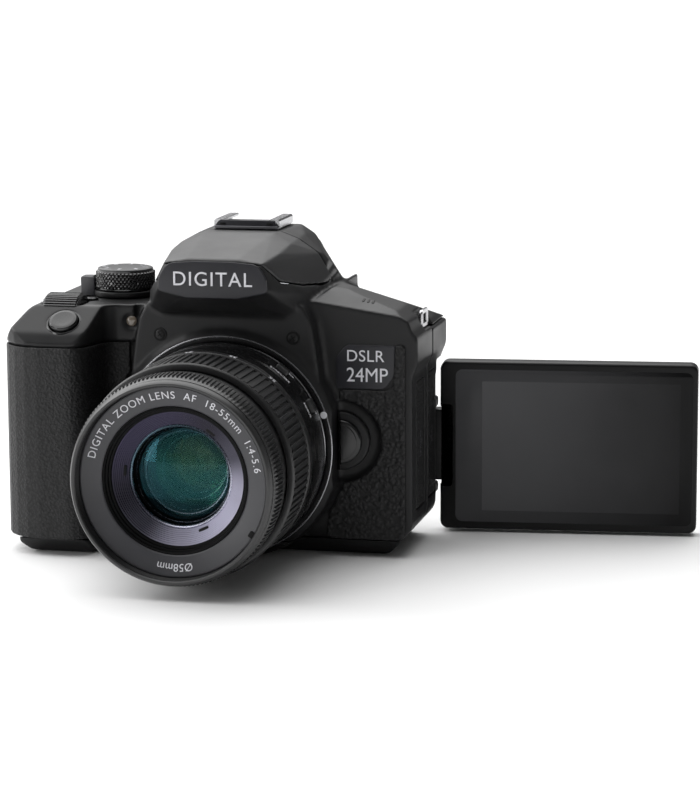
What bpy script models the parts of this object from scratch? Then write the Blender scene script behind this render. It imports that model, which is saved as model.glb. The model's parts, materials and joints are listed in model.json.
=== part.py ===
"""A digital single-lens reflex camera with a swing-out screen and a short zoom lens.

All sizes below are millimetres and degrees; MM turns them into Blender's metres.
The lens axis runs along Y at x = 0 with the front towards -Y, +Z is up,
and the camera stands on z = 0. Left and right are those of someone facing the lens.
"""

import math

import bmesh
import bpy
from mathutils import Matrix, Vector

MM = 0.001
GAP = 0.3                     # clearance between neighbouring pieces
FINE_MERGE = 0.00001          # metres

# ---- driving dimensions of the body -------------------------------------------------
BODY_LEFT = -70.5
BODY_RIGHT = 60.0
BODY_FRONT = -22.0
BODY_BACK = 27.0
BASE_FRONT = -18.0
DECK_Z = 78.0
HUMP_TOP = 99.5
CAMERA_HEIGHT = 102.6
GRIP_FRONT = -41.0
BEAK_FRONT = -41.0
GROOVE_Y = -24.4              # skin surface in the finger groove beside the lens
EYECUP_BACK = 35.2
WALL = 2.0
SKIN = 0.9                    # thickness of the rubber skins
BASE_SPLIT = 5.0              # top of the bottom cover
SHELL_SPLIT = 3.0             # where the front and the rear cover meet, along Y

# ---- lens ----------------------------------------------------------------------------
AXIS_Z = 35.0
FLANGE_Y = -30.0
FLANGE_DISTANCE = 44.0
SENSOR_Y = FLANGE_Y + FLANGE_DISTANCE
MOUNT_RADIUS = 32.6
THROAT_RADIUS = 27.0
BARREL_RADIUS = 33.2
LENS_LENGTH = 61.8
ROUND_STEPS = 36
THROAT_STEPS = 44

# ---- screen --------------------------------------------------------------------------
HINGE_X = 56.5
HINGE_Y = 23.2
SCREEN_Z = 28.3
SCREEN_LONG = 83.0
SCREEN_TALL = 55.0
SCREEN_THICK = 7.6
SCREEN_START = 2.3            # from the hinge axis to the panel's inner edge
SCREEN_OPEN = 175.0
RECESS_FLOOR = 19.1

# ---- controls ------------------------------------------------------------------------
MODE_DIAL = (-38.8, -4.0)
MODE_RADIUS = 9.5
MAIN_DIAL = (-53.0, -22.4, 72.6)
QUICK_DIAL = (-48.0, 36.0)
RELEASE_CENTRE = (35.6, 36.6)  # x, z
RELEASE_RADIUS = 7.0
RELEASE_FLAT = 35.6           # x of the button's straight edge
DISH_RADIUS = 12.9
DISH_FLAT = 34.5
FLASH_AXIS = (-1.0, 99.3)     # y, z
EYE_Z = 85.5
MIRROR_AXIS = (3.0, 51.0)     # y, z

COLOURS = {
    "shell": ((0.030, 0.030, 0.032), 0.45, 0.0),
    "black": ((0.012, 0.012, 0.013), 0.40, 0.0),
    "skin": ((0.016, 0.016, 0.017), 0.70, 0.0),
    "grey": ((0.110, 0.110, 0.115), 0.40, 0.3),
    "steel": ((0.550, 0.550, 0.560), 0.28, 1.0),
    "glass": ((0.050, 0.060, 0.080), 0.05, 0.0),
    "mirror": ((0.800, 0.800, 0.810), 0.03, 1.0),
}


# ---- scene and materials -------------------------------------------------------------
def clear_scene():
    for item in list(bpy.data.objects):
        bpy.data.objects.remove(item, do_unlink=True)


def new_collection(name):
    group = bpy.data.collections.new(name)
    bpy.context.scene.collection.children.link(group)
    return group


def make_materials():
    made = {}
    for name, (colour, roughness, metallic) in COLOURS.items():
        material = bpy.data.materials.new(name)
        material.use_nodes = True
        shader = material.node_tree.nodes["Principled BSDF"]
        shader.inputs["Base Color"].default_value = (*colour, 1.0)
        shader.inputs["Roughness"].default_value = roughness
        shader.inputs["Metallic"].default_value = metallic
        made[name] = material
    return made


clear_scene()
PARTS = new_collection("dslr_camera")
CUTTERS = new_collection("cutters")
MATERIALS = make_materials()


def add_object(name, mesh, finish=None):
    """Link a mesh as a part, or as a cutter where it has no finish."""
    item = bpy.data.objects.new(name, mesh)
    if finish is None:
        CUTTERS.objects.link(item)
        item.hide_render = True
        item.display_type = "WIRE"
    else:
        PARTS.objects.link(item)
        mesh.materials.clear()
        mesh.materials.append(MATERIALS[finish])
    return item


def evaluated_mesh(item, name):
    """The mesh that an object's modifiers give, in world space."""
    bpy.context.view_layer.update()
    ready = item.evaluated_get(bpy.context.evaluated_depsgraph_get())
    mesh = bpy.data.meshes.new_from_object(ready)
    mesh.transform(item.matrix_world)
    mesh.name = name
    return mesh


def settle(item, finish=None):
    """Replace an object by one that holds its evaluated mesh."""
    name = item.name
    mesh = evaluated_mesh(item, name)
    bpy.data.objects.remove(item, do_unlink=True)
    return add_object(name, mesh, finish)


# ---- outlines ------------------------------------------------------------------------
def rounded(corners, steps=4):
    """A closed outline through corners (u, v, radius), each turned on its radius."""
    outline = []
    count = len(corners)
    for index, (u, v, radius) in enumerate(corners):
        corner = Vector((u, v))
        before = Vector(corners[index - 1][:2]) - corner
        after = Vector(corners[(index + 1) % count][:2]) - corner
        if radius <= 0:
            outline.append(corner)
            continue
        half = before.angle(after) / 2
        reach = min(radius / math.tan(half), before.length * 0.48, after.length * 0.48)
        turn = reach * math.tan(half)
        centre = corner + (before.normalized() + after.normalized()).normalized() * turn / math.sin(half)
        start = corner + before.normalized() * reach - centre
        sweep = start.angle_signed(corner + after.normalized() * reach - centre)
        for step in range(steps + 1):
            spin = Matrix.Rotation(-sweep * step / steps, 2)
            outline.append(centre + spin @ start)
    return outline


def area(outline):
    total = 0.0
    for here, there in zip(outline, outline[1:] + outline[:1]):
        total += here.cross(there)
    return total / 2


def inset(outline, distance):
    """The outline moved inwards by a distance."""
    turn = math.copysign(1.0, area(outline))
    moved = []
    for index, point in enumerate(outline):
        before = (point - outline[index - 1]).normalized()
        after = (outline[(index + 1) % len(outline)] - point).normalized()
        normal = Vector((-before.y - after.y, before.x + after.x)).normalized() * turn
        side = Vector((-after.y, after.x)) * turn
        moved.append(point + normal * distance / max(normal.dot(side), 0.5))
    return moved


# ---- shape makers --------------------------------------------------------------------
AXIS_FRAMES = {
    "X": Matrix(((0, 0, 1, 0), (1, 0, 0, 0), (0, 1, 0, 0), (0, 0, 0, 1))),
    "Y": Matrix(((1, 0, 0, 0), (0, 0, -1, 0), (0, 1, 0, 0), (0, 0, 0, 1))),
    "Z": Matrix.Identity(4),
}


def plate(name, outlines, axis, low, high, finish=None, edge=0.0, edge_steps=2):
    """A flat outline, with holes where more outlines follow, drawn out along an axis.

    The outline is in (y, z) for X, (x, z) for Y and (x, y) for Z.
    """
    curve = bpy.data.curves.new(name, "CURVE")
    curve.dimensions = "2D"
    curve.fill_mode = "BOTH"
    curve.extrude = (high - low) / 2 * MM
    for outline in outlines:
        spline = curve.splines.new("POLY")
        spline.points.add(len(outline) - 1)
        for point, place in zip(spline.points, outline):
            point.co = (place[0] * MM, place[1] * MM, 0.0, 1.0)
        spline.use_cyclic_u = True
    guide = bpy.data.objects.new(name, curve)
    CUTTERS.objects.link(guide)
    shift = Vector({"X": (1, 0, 0), "Y": (0, 1, 0), "Z": (0, 0, 1)}[axis]) * (low + high) / 2 * MM
    guide.matrix_world = Matrix.Translation(shift) @ AXIS_FRAMES[axis]
    mesh = evaluated_mesh(guide, name)
    bpy.data.objects.remove(guide, do_unlink=True)
    weld(mesh)
    item = add_object(name, mesh, finish)
    if edge:
        soften(item, edge, edge_steps)
    return item


def weld(mesh):
    body = bmesh.new()
    body.from_mesh(mesh)
    bmesh.ops.remove_doubles(body, verts=body.verts, dist=FINE_MERGE)
    bmesh.ops.recalc_face_normals(body, faces=body.faces)
    body.to_mesh(mesh)
    body.free()


def box(name, low, high, finish=None, edge=0.0, edge_steps=2):
    """A box between two corners, its edges rounded where edge is given."""
    body = bmesh.new()
    bmesh.ops.create_cube(body, size=1.0)
    size = [(high[i] - low[i]) * MM for i in range(3)]
    middle = [(high[i] + low[i]) / 2 * MM for i in range(3)]
    bmesh.ops.scale(body, vec=size, verts=body.verts)
    bmesh.ops.translate(body, vec=middle, verts=body.verts)
    mesh = bpy.data.meshes.new(name)
    body.to_mesh(mesh)
    body.free()
    item = add_object(name, mesh, finish)
    if edge:
        soften(item, edge, edge_steps)
    return item


def soften(item, width, steps=2):
    bevel = item.modifiers.new("rounded edges", "BEVEL")
    bevel.width = width * MM
    bevel.segments = steps
    bevel.limit_method = "ANGLE"
    bevel.angle_limit = math.radians(35)


def hull(name, points, finish=None, edge=0.0, edge_steps=2):
    """The smallest convex body round a few corner points."""
    body = bmesh.new()
    for point in points:
        body.verts.new([value * MM for value in point])
    made = bmesh.ops.convex_hull(body, input=body.verts)
    spare = [item for item in made["geom_interior"] if isinstance(item, bmesh.types.BMVert)]
    bmesh.ops.delete(body, geom=spare, context="VERTS")
    bmesh.ops.dissolve_limit(body, angle_limit=math.radians(1), verts=body.verts, edges=body.edges)
    bmesh.ops.recalc_face_normals(body, faces=body.faces)
    mesh = bpy.data.meshes.new(name)
    body.to_mesh(mesh)
    body.free()
    item = add_object(name, mesh, finish)
    if edge:
        soften(item, edge, edge_steps)
    return item


def turned(name, profile, place, direction, finish=None, steps=ROUND_STEPS):
    """A profile of (radius, height) points spun about a direction through a place.

    The profile runs down its outer side first; it closes on itself unless it starts
    and ends on the axis.
    """
    body = bmesh.new()
    points = [body.verts.new((radius * MM, 0.0, height * MM)) for radius, height in profile]
    for start, end in zip(points, points[1:]):
        body.edges.new((start, end))
    if profile[0][0] > 0:
        body.edges.new((points[-1], points[0]))
    mesh = bpy.data.meshes.new(name)
    body.to_mesh(mesh)
    body.free()
    item = add_object(name, mesh, finish)
    item.location = Vector(place) * MM
    item.rotation_euler = Vector(direction).to_track_quat("Z", "Y").to_euler()
    screw = item.modifiers.new("turned", "SCREW")
    screw.axis = "Z"
    screw.steps = steps
    screw.render_steps = steps
    screw.use_merge_vertices = True
    screw.merge_threshold = FINE_MERGE
    screw.use_smooth_shade = True
    return item


def drum(radius, low, high, edge=0.4):
    """The profile of a solid disc with rounded rims."""
    return [(0, high), (radius - edge, high), (radius, high - edge), (radius, low + edge),
            (radius - edge, low), (0, low)]


def sleeve(inner, outer, low, high, edge=0.3):
    """The profile of a ring with its outer rims broken."""
    return [(inner, high), (outer - edge, high), (outer, high - edge), (outer, low + edge),
            (outer - edge, low), (inner, low)]


def combine(item, other, operation):
    change = item.modifiers.new(operation.lower() + " " + other.name, "BOOLEAN")
    change.operation = operation
    change.object = other
    change.solver = "EXACT"
    return item


def cut(item, *others):
    for other in others:
        combine(item, other, "DIFFERENCE")
    return item


def join(item, *others):
    for other in others:
        combine(item, other, "UNION")
    return item


def keep(item, other):
    return combine(item, other, "INTERSECT")


def lens_part(name, profile, finish=None, steps=ROUND_STEPS):
    """A turned piece on the lens axis; heights are distances in front of the flange."""
    return turned(name, profile, (0, FLANGE_Y, AXIS_Z), (0, -1, 0), finish, steps)


# ---- body form -----------------------------------------------------------------------
def grip_outline():
    corners = [(BODY_LEFT, BODY_BACK, 5), (BODY_LEFT, GRIP_FRONT, 17), (-42.5, GRIP_FRONT, 7),
               (-38.5, GROOVE_Y, 5), (-30, GROOVE_Y, 0), (-30, BODY_BACK, 0)]
    return rounded(corners, 5)


def make_block():
    """The box-like middle of the camera, wider at the strap lug than beside the screen."""
    front = rounded([(-60, 0, 4), (50, 0, 3), (58.3, 9, 5), (58.3, 57, 2), (BODY_RIGHT, 61, 2),
                     (BODY_RIGHT, 69, 2), (56, 77, 3), (48, 80.5, 4), (30, 83.0, 2), (24, DECK_Z, 1),
                     (-60, DECK_Z, 4)])
    block = plate("block", [front], "Y", BODY_FRONT, BODY_BACK, edge=2.0)
    side = rounded([(BASE_FRONT, 0, 2), (BODY_FRONT, 8, 3), (BODY_FRONT - 0.5, 90, 0),
                    (BODY_BACK + 0.5, 90, 0), (BODY_BACK + 0.5, 6, 3), (BODY_BACK - 3, 0, 2)])
    return settle(keep(block, plate("block_side", [side], "X", -75, 65)))


def make_grip():
    """The grip, with a full-width top and a core that leaves room for the skin."""
    outline = grip_outline()
    side = rounded([(-34, 0, 2), (GRIP_FRONT, 8, 5), (GRIP_FRONT, 66, 2), (-38.5, 70.5, 3),
                    (-28, DECK_Z, 4), (BODY_BACK, DECK_Z, 3), (BODY_BACK, 0, 3)])
    front = rounded([(-62, 0, 3), (BODY_LEFT, 8, 8), (BODY_LEFT, 66, 8), (-62, DECK_Z, 5),
                     (-20, DECK_Z + 1, 0), (-20, 0, 0)])
    side_cutter = plate("grip_side", [side], "X", -75, -25)
    front_cutter = plate("grip_front", [front], "Y", -45, 30)
    core = plate("grip_core", [inset(outline, SKIN + GAP)], "Z", -1, 70)
    cap = plate("grip_cap", [outline], "Z", 66.6, DECK_Z + 1)
    grip = settle(join(core, cap))
    return settle(keep(keep(grip, side_cutter), front_cutter))


def make_hump():
    """The viewfinder hump, whose front juts out over the lens like the peak of a cap."""
    points = []
    for side in (-1, 1):
        points += [(side * 10, BEAK_FRONT, 83.3), (side * 17.6, BEAK_FRONT, 85.5), (side * 15.2, BEAK_FRONT, 93.8),
                   (side * 8, BEAK_FRONT, 95.0), (side * 17.2, -25.5, 95.2), (side * 17.7, -12, 96.8),
                   (side * 11, -8, HUMP_TOP), (side * 13, 22, HUMP_TOP), (side * 17.4, 8, 97.6),
                   (side * 18, 20, 96.6), (side * 25, 2, 92.3), (side * 28.5, 4, 87.2), (side * 29.8, 12, 82),
                   (side * 25.5, -22, 82), (side * 29.5, 24, 76), (side * 28.5, -4, 76), (side * 15, BODY_BACK, 95),
                   (side * 26, BODY_BACK, 76), (side * 20, -27.2, 75.6), (side * 25, -24, 76)]
    return settle(hull("hump", points, edge=1.0))


def make_boss():
    """The raised seat of the lens mount and the neck that joins it to the hump."""
    disc = lens_part("boss", [(0, -0.3), (35.0, -0.3), (36.6, -1.6), (37.6, -9), (37.6, -14), (0, -14)])
    neck = hull("neck", [(side * x, y, z) for side in (-1, 1) for x, y, z in (
        (31.0, -28.3, 50), (31.6, -21, 50), (28.9, -27.9, 67), (29.6, -21, 67), (27.6, -27.7, 74), (28.4, -21, 74),
        (24.6, -27.6, 79.5), (25.6, -21, 79.5))])
    join(disc, neck)
    return settle(keep(disc, box("boss_room", (-40, -32, 0.8), (40, -15, 90))))


def make_body_form():
    form = make_block()
    join(form, make_grip(), make_boss(), make_hump())
    return settle(form)


# ---- covers --------------------------------------------------------------------------
def top_split(name, above):
    """Everything above, or below, the line where the top cover meets the others."""
    lift = GAP / 2 if above else -GAP / 2
    line = [(-80, 66.4), (-40, 66.4), (-31.5, 70), (-28.5, 76.6), (26, 76.6), (37, 75.5), (56, 69.5), (80, 69.5)]
    corners = [Vector((x, z + lift)) for x, z in line]
    far = 120 if above else -10
    corners += [Vector((80, far)), Vector((-80, far))]
    return plate(name, [corners], "Y", -60, 60)


def cover(name, form, finish, *regions):
    shell = add_object(name, form.data.copy(), finish)
    for region in regions:
        keep(shell, region)
    return shell


def screen_recess():
    low_x = HINGE_X - SCREEN_START - SCREEN_LONG - 0.6
    top = SCREEN_Z + SCREEN_TALL / 2 + 0.6
    return [box("recess", (low_x, RECESS_FLOOR, -2), (70, 40, top)),
            box("recess_corner", (49.5, 17.9, -3), (71, 41, top - 4))]


def cavities():
    """The hollow inside the covers, as plain overlapping rooms."""
    return [box("room_middle", (-41, -18.6, WALL + 1.2), (48.5, 17.5, 76.0)),
            box("room_side", (47, -18.2, WALL + 1.6), (56, 14.6, 68.0)),
            box("room_grip", (-67, -36.0, 3), (-43.5, 22.6, 65)),
            box("room_thumb", (-66, -17, WALL + 0.6), (-32, 23.4, 74.6)),
            box("room_hump", (-15.5, -21.5, 70), (15.5, 18.5, 96.6)),
            hull("room_beak", [(side * x, y, z) for side in (-1, 1) for x, y, z in (
                (12.5, -38.4, 86.6), (12.5, -38.4, 99), (14.5, -20, 80.5), (14.5, -20, 94))])]


def make_covers(form):
    high = box("region_high", (-90, -60, BASE_SPLIT + GAP), (90, 60, 130))
    low = box("region_low", (-90, -60, -5), (90, 60, BASE_SPLIT))
    front = box("region_front", (-90, -60, -5), (90, SHELL_SPLIT - GAP / 2, 130))
    rear = box("region_rear", (-90, SHELL_SPLIT + GAP / 2, -5), (90, 60, 130))
    above = top_split("region_top", True)
    below = top_split("region_below", False)
    rooms = cavities()
    recess = screen_recess()

    front_cover = cover("front_cover", form, "shell", below, front, high)
    cut(front_cover, *rooms)
    throat = lens_part("throat", [(0, 4), (MOUNT_RADIUS + GAP, 4), (MOUNT_RADIUS + GAP, -2.1),
                                  (THROAT_RADIUS + GAP, -2.1), (THROAT_RADIUS + GAP, -14), (0, -14)],
                       steps=THROAT_STEPS)
    cut(front_cover, throat)

    rear_cover = cover("rear_cover", form, "shell", below, rear, high)
    cut(rear_cover, *rooms, *recess)

    bottom_cover = cover("bottom_cover", form, "black", low)
    cut(bottom_cover, *rooms, *recess, throat)

    top_cover = cover("top_cover", form, "shell", above)
    cut(top_cover, *rooms)
    return front_cover, rear_cover, bottom_cover, top_cover


# ---- skins ---------------------------------------------------------------------------
def make_skins():
    outline = grip_outline()
    skin = plate("grip_skin", [outline], "Z", BASE_SPLIT + GAP, 66.0, "skin")
    cut(skin, plate("grip_inside", [inset(outline, SKIN)], "Z", 0, 90))
    keep(skin, box("grip_skin_room", (-80, -60, 0), (-31.5, 2.0, 90)))

    side = rounded([(31.0, 5.6, 1), (55.4, 5.6, 3), (56.2, 9.5, 3), (56.2, 67.2, 1), (53.2, 67.2, 1),
                    (52.4, 52.9, 3), (35.6, 52.9, 1)])
    skin = plate("side_skin", [side], "Y", BODY_FRONT - SKIN - 0.1, BODY_FRONT - 0.1, "skin")
    boss_room = lens_part("skin_hole", [(0, 4), (38.4, 4), (38.4, -12), (0, -12)])
    cut(skin, boss_room)
    cut(bpy.data.objects["grip_skin"], boss_room)

    pad = rounded([(-66, 50, 4), (-58, 64, 4), (-40, 64, 4), (-40, 54, 4), (-52, 50, 4)])
    plate("thumb_rest", [pad], "Y", BODY_BACK + 0.1, BODY_BACK + 2.6, "skin", edge=0.8)


# ---- front of the body ---------------------------------------------------------------
def half_moon(radius, flat):
    """A D-shaped outline round the lens release, closed by an upright line at x = flat."""
    x, z = RELEASE_CENTRE
    reach = math.acos((flat - x) / radius)
    turns = [reach * (2 * step / ROUND_STEPS - 1) for step in range(ROUND_STEPS + 1)]
    return [Vector((x + radius * math.cos(turn), z + radius * math.sin(turn))) for turn in turns]


def make_mount(front_cover):
    ring_profile = sleeve(THROAT_RADIUS - 1.6, MOUNT_RADIUS, -1.8, 0.0, 0.2)
    mount = lens_part("lens_mount_ring", ring_profile, "steel", 40)

    pin_x, pin_z = 29.6 * math.cos(math.radians(8)), AXIS_Z + 29.6 * math.sin(math.radians(8))
    pin_hole = turned("pin_hole", drum(1.6, -12, 12, 0), (pin_x, FLANGE_Y, pin_z), (0, -1, 0), steps=12)
    turned("lens_lock_pin", drum(1.2, -4.4, 1.4, 0.2), (pin_x, FLANGE_Y, pin_z), (0, -1, 0), "steel", 12)
    cut(mount, pin_hole)
    cut(front_cover, pin_hole)

    dish = plate("release_dish", [half_moon(DISH_RADIUS, DISH_FLAT)], "Y", -40, BODY_FRONT + 1.4)
    well = plate("release_well", [half_moon(RELEASE_RADIUS + GAP, RELEASE_FLAT - GAP)], "Y", -40, BODY_FRONT + 6)
    cut(front_cover, dish, well)
    cut(bpy.data.objects["side_skin"],
        plate("skin_release", [half_moon(DISH_RADIUS + GAP, DISH_FLAT - 2)], "Y", -40, BODY_FRONT))
    plate("lens_release_button", [half_moon(RELEASE_RADIUS, RELEASE_FLAT)], "Y", BODY_FRONT - 2.8,
          BODY_FRONT + 1.8, "black", edge=0.6)
    return pin_hole


# ---- mirror, shutter, sensor and viewfinder --------------------------------------------
def make_mirror_box():
    shell = box("mirror_box", (-20, -18.2, 16), (20, 5.6, 54.6), "black")
    cut(shell, box("mirror_room", (-17.8, -25, 18), (17.8, 9, 52.8)))
    cut(shell, box("screen_window", (-13, -17, 50), (13, 1.5, 60)))

    axis_y, axis_z = MIRROR_AXIS
    mirror = box("reflex_mirror", (-15.5, -27, -0.5), (15.5, 1.0, 0.5), "mirror")
    mirror.location = Vector((0, axis_y, axis_z)) * MM
    mirror.rotation_euler = (math.radians(45), 0, 0)
    along = Vector((0, -1, -1)).normalized()
    behind = Vector((0, 1, -1)).normalized()
    sub_axis = Vector((0, axis_y, axis_z)) + along * 12 + behind * 1.5
    sub = box("sub_mirror", (-6, 0, -0.3), (6, 9, 0.3), "mirror")
    sub.location = sub_axis * MM
    sub.rotation_euler = (math.radians(-45), 0, 0)


def make_shutter_and_sensor():
    window = rounded([(-11.8, 27, 0), (11.8, 27, 0), (11.8, 43, 0), (-11.8, 43, 0)])
    frame = rounded([(-22, 8, 1), (22, 8, 1), (22, 56, 1), (-22, 56, 1)], 2)
    plate("shutter_unit", [frame, window], "Y", 6.4, 10.2, "black")
    box("shutter_curtain", (-12.6, 10.6, 26.2), (12.6, 11.0, 43.8), "black")
    hole = rounded([(-12.4, 26, 0), (12.4, 26, 0), (12.4, 44, 0), (-12.4, 44, 0)])
    plane = rounded([(-31, 6, 2), (54, 6, 2), (54, 64, 2), (-31, 64, 2)], 2)
    plate("chassis", [plane, hole], "Y", 11.5, 13.6, "steel")
    box("image_sensor", (-14.5, SENSOR_Y, 24.5), (14.5, SENSOR_Y + 1.6, 45.5), "glass", 0.3, 1)


def make_viewfinder(top_cover):
    box("focusing_screen", (-12.6, -16.6, 55.0), (12.6, 1.2, 56.2), "glass")
    side = rounded([(-17, 56.6, 0), (4, 56.6, 0), (9, 66, 0), (9, 81, 0), (-4, 83.0, 0), (-17.5, 73, 0)])
    plate("pentamirror", [side], "X", -14.2, 14.2, "black", edge=1.0, edge_steps=1)
    opening = rounded([(-10.5, EYE_Z - 7, 2), (10.5, EYE_Z - 7, 2), (10.5, EYE_Z + 7, 2), (-10.5, EYE_Z + 7, 2)])
    cut(top_cover, plate("eye_hole", [opening], "Y", 15, 40))
    pane = inset(opening, 0.6)
    plate("eyepiece_lens", [pane], "Y", 16.5, 20.5, "glass", edge=0.6, edge_steps=1)
    outer = rounded([(-20, EYE_Z - 11, 8), (20, EYE_Z - 11, 8), (17, EYE_Z + 9.5, 7), (-17, EYE_Z + 9.5, 7)], 5)
    plate("eyecup", [outer, inset(opening, -0.6)], "Y", BODY_BACK + GAP, EYECUP_BACK, "skin", edge=1.2)
    turned("dioptric_knob", drum(3.2, 0.0, 3.0, 0.5), (-23.8, BODY_BACK - 1.2, 85.5), (0, 1, 0), "black", 20)
    cut(top_cover, turned("dioptric_room", drum(3.6, -4, 8, 0), (-23.8, BODY_BACK + 2.5, 85.5), (0, 1, 0), steps=20))


# ---- flash and hot shoe ----------------------------------------------------------------
def make_flash(form, top_cover):
    """The flip-up flash: the roof and cheeks of the hump's front, hinged before the hot shoe."""
    axis_y, axis_z = FLASH_AXIS
    side = [(-46, 94.6), (-40.0, 93.6), (-33, 87.5), (-21, 85.2), (-6, 83.8), (axis_y + 0.6, 84.2), (axis_y, 88),
            (axis_y, 110), (-46, 110)]
    room = plate("flash_room", [[Vector(corner) for corner in side]], "X", -40, 40)
    fixed = [(-47, 94.3), (-40.1, 93.3), (-33.1, 87.2), (-21.1, 84.9), (-6, 83.5), (axis_y + 1.0, 83.9),
             (axis_y + 0.4, 88), (axis_y + 0.4, 111), (-47, 111)]
    away = plate("flash_away", [[Vector(corner) for corner in fixed]], "X", -42, 42)
    cut(top_cover, away)
    lid = cover("flash_lid", form, "shell", room)
    cut(lid, hull("flash_hollow", [(side * x, y, z) for side in (-1, 1) for x, y, z in (
        (13.5, -37.5, 92.4), (12.0, -12, 97.2), (9, -3, 97.4), (15.5, -22, 94.0), (16.5, -4, 95.0),
        (15.0, -36, 88.6), (20.5, -24, 80), (26.0, -3, 80), (15.0, -36, 80))]))
    box("flash_head", (-12.5, -32.0, 88.4), (12.5, -22.0, 92.0), "glass", 0.5, 1)


def make_hot_shoe():
    rail_y = (1.0, 19.8)
    low = HUMP_TOP + GAP
    profile = [(-10.7, low), (10.7, low), (10.7, CAMERA_HEIGHT), (7.4, CAMERA_HEIGHT), (7.4, CAMERA_HEIGHT - 0.8),
               (9.4, CAMERA_HEIGHT - 0.8), (9.4, low + 0.8), (-9.4, low + 0.8), (-9.4, CAMERA_HEIGHT - 0.8),
               (-7.4, CAMERA_HEIGHT - 0.8), (-7.4, CAMERA_HEIGHT), (-10.7, CAMERA_HEIGHT)]
    shoe = plate("hot_shoe", [[Vector(corner) for corner in profile]], "Y", *rail_y, "steel")
    guard = hull("shoe_guard", [(side * x, y, z) for side in (-1, 1) for x, y, z in (
        (10.7, 0.0, low), (10.7, 1.2, low), (9.0, 0.4, 102.2), (9.0, 1.2, 102.2))])
    join(shoe, guard)


# ---- top controls ----------------------------------------------------------------------
def make_top_controls(top_cover):
    x, y = MODE_DIAL
    turned("mode_dial", drum(MODE_RADIUS, DECK_Z + 2.4, DECK_Z + 9.2, 0.6), (x, y, 0), (0, 0, 1), "black", 36)
    lever = turned("power_lever", sleeve(3.0, MODE_RADIUS + 0.7, DECK_Z + 0.3, DECK_Z + 2.1),
                   (x, y, 0), (0, 0, 1), "black", 36)
    tab = rounded([(x - 14.2, y - 3.2, 1.5), (x - 8, y - 3.8, 0), (x - 8, y + 1.8, 0), (x - 14.2, y + 1.2, 1.5)])
    join(lever, plate("lever_tab", [tab], "Z", DECK_Z + 0.4, DECK_Z + 2.0))

    turned("main_dial", drum(6.2, -6.0, 6.0, 0.6), MAIN_DIAL, (1, 0, 0), "black", 24)
    cut(top_cover, turned("dial_room", drum(7.0, -6.6, 6.6, 0), MAIN_DIAL, (1, 0, 0), steps=24))

    lean = Vector((0, -0.56, 0.83)).normalized()
    seat = Vector((-50.0, -34.4, 73.6))
    turned("shutter_button", drum(4.6, -3.0, 1.6, 0.7), seat, lean, "grey", 24)
    cut(top_cover, turned("shutter_room", drum(5.1, -9, 6, 0), seat, lean, steps=24))

    turned("iso_button", drum(2.1, -1.6, 0.8, 0.3), (-46.5, -15.5, DECK_Z), (0, 0, 1), "black", 16)
    cut(top_cover, turned("iso_room", drum(2.45, -6, 4, 0), (-46.5, -15.5, DECK_Z), (0, 0, 1), steps=16))


# ---- strap lugs, doors and sockets -------------------------------------------------------
def make_strap_lug(name, x, sign, top_cover):
    """A steel loop in a small pocket of the shoulder."""
    z = 72.0
    inner, outside = x - sign * 4, x + sign * 8
    pocket = box(name + "_pocket", (min(inner, outside), -6.5, 69.8), (max(inner, outside), 6.5, 79))
    outer = rounded([(-4.5, z - 1.8, 1.5), (4.5, z - 1.8, 1.5), (4.5, z + 3.6, 1.5), (-4.5, z + 3.6, 1.5)], 2)
    slot = rounded([(-3.0, z + 0.6, 0.5), (3.0, z + 0.6, 0.5), (3.0, z + 2.4, 0.5), (-3.0, z + 2.4, 0.5)], 2)
    near = x - sign * 2.6
    plate(name, [outer, slot], "X", min(near, near + sign * 1.6), max(near, near + sign * 1.6), "steel")
    cut(top_cover, pocket)


def make_doors(bottom_cover, rear_cover, front_cover):
    door = rounded([(-63, -30, 5), (-46, -30, 3), (-46, -2, 2), (-63, -2, 3)])
    plate("battery_door", [door], "Z", 0.5, 2.3, "black")
    cut(bottom_cover, plate("battery_door_room", [inset(door, -GAP)], "Z", -3, 9))
    box("battery", (-62.5, -29.5, 3.2), (-46.5, -5.5, 40), "black", 1.0, 1)

    card = rounded([(4.5, 16, 2), (19, 16, 2), (19, 56, 2), (4.5, 56, 2)])
    plate("card_door", [card], "X", BODY_LEFT + 1.3, BODY_LEFT + 3.0, "shell")
    cut(rear_cover, plate("card_room", [inset(card, -GAP)], "X", BODY_LEFT - 5, BODY_LEFT + 6.5))

    for name, low, high in (("remote_terminal_cover", -14.5, -1.0), ("hdmi_terminal_cover", 5.0, 16.5)):
        flap = rounded([(low, 14, 1.5), (high, 14, 1.5), (high, 54, 1.5), (low, 54, 1.5)])
        plate(name, [flap], "X", 56.6, 58.2, "skin")
        holder = front_cover if low < 0 else rear_cover
        cut(holder, plate(name + "_room", [inset(flap, -GAP)], "X", 55, 70))


def make_tripod_socket(bottom_cover):
    place = (0, 10.5, 0)
    turned("tripod_socket", sleeve(3.2, 5.6, 0.4, 4.6, 0.2), place, (0, 0, 1), "steel", 20)
    cut(bottom_cover, turned("tripod_room", drum(5.9, -3, 9, 0), place, (0, 0, 1), steps=20))


# ---- back controls -----------------------------------------------------------------------
BACK_BUTTONS = (
    ("menu_button", 45.0, 62.5, 2.9),
    ("live_view_button", -31.0, 62.5, 3.0),
    ("ae_lock_button", -57.5, 71.0, 2.5),
    ("af_point_button", -65.0, 70.0, 2.2),
    ("playback_button", -42.0, 15.0, 2.6),
    ("erase_button", -54.0, 15.0, 2.6),
)


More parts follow.
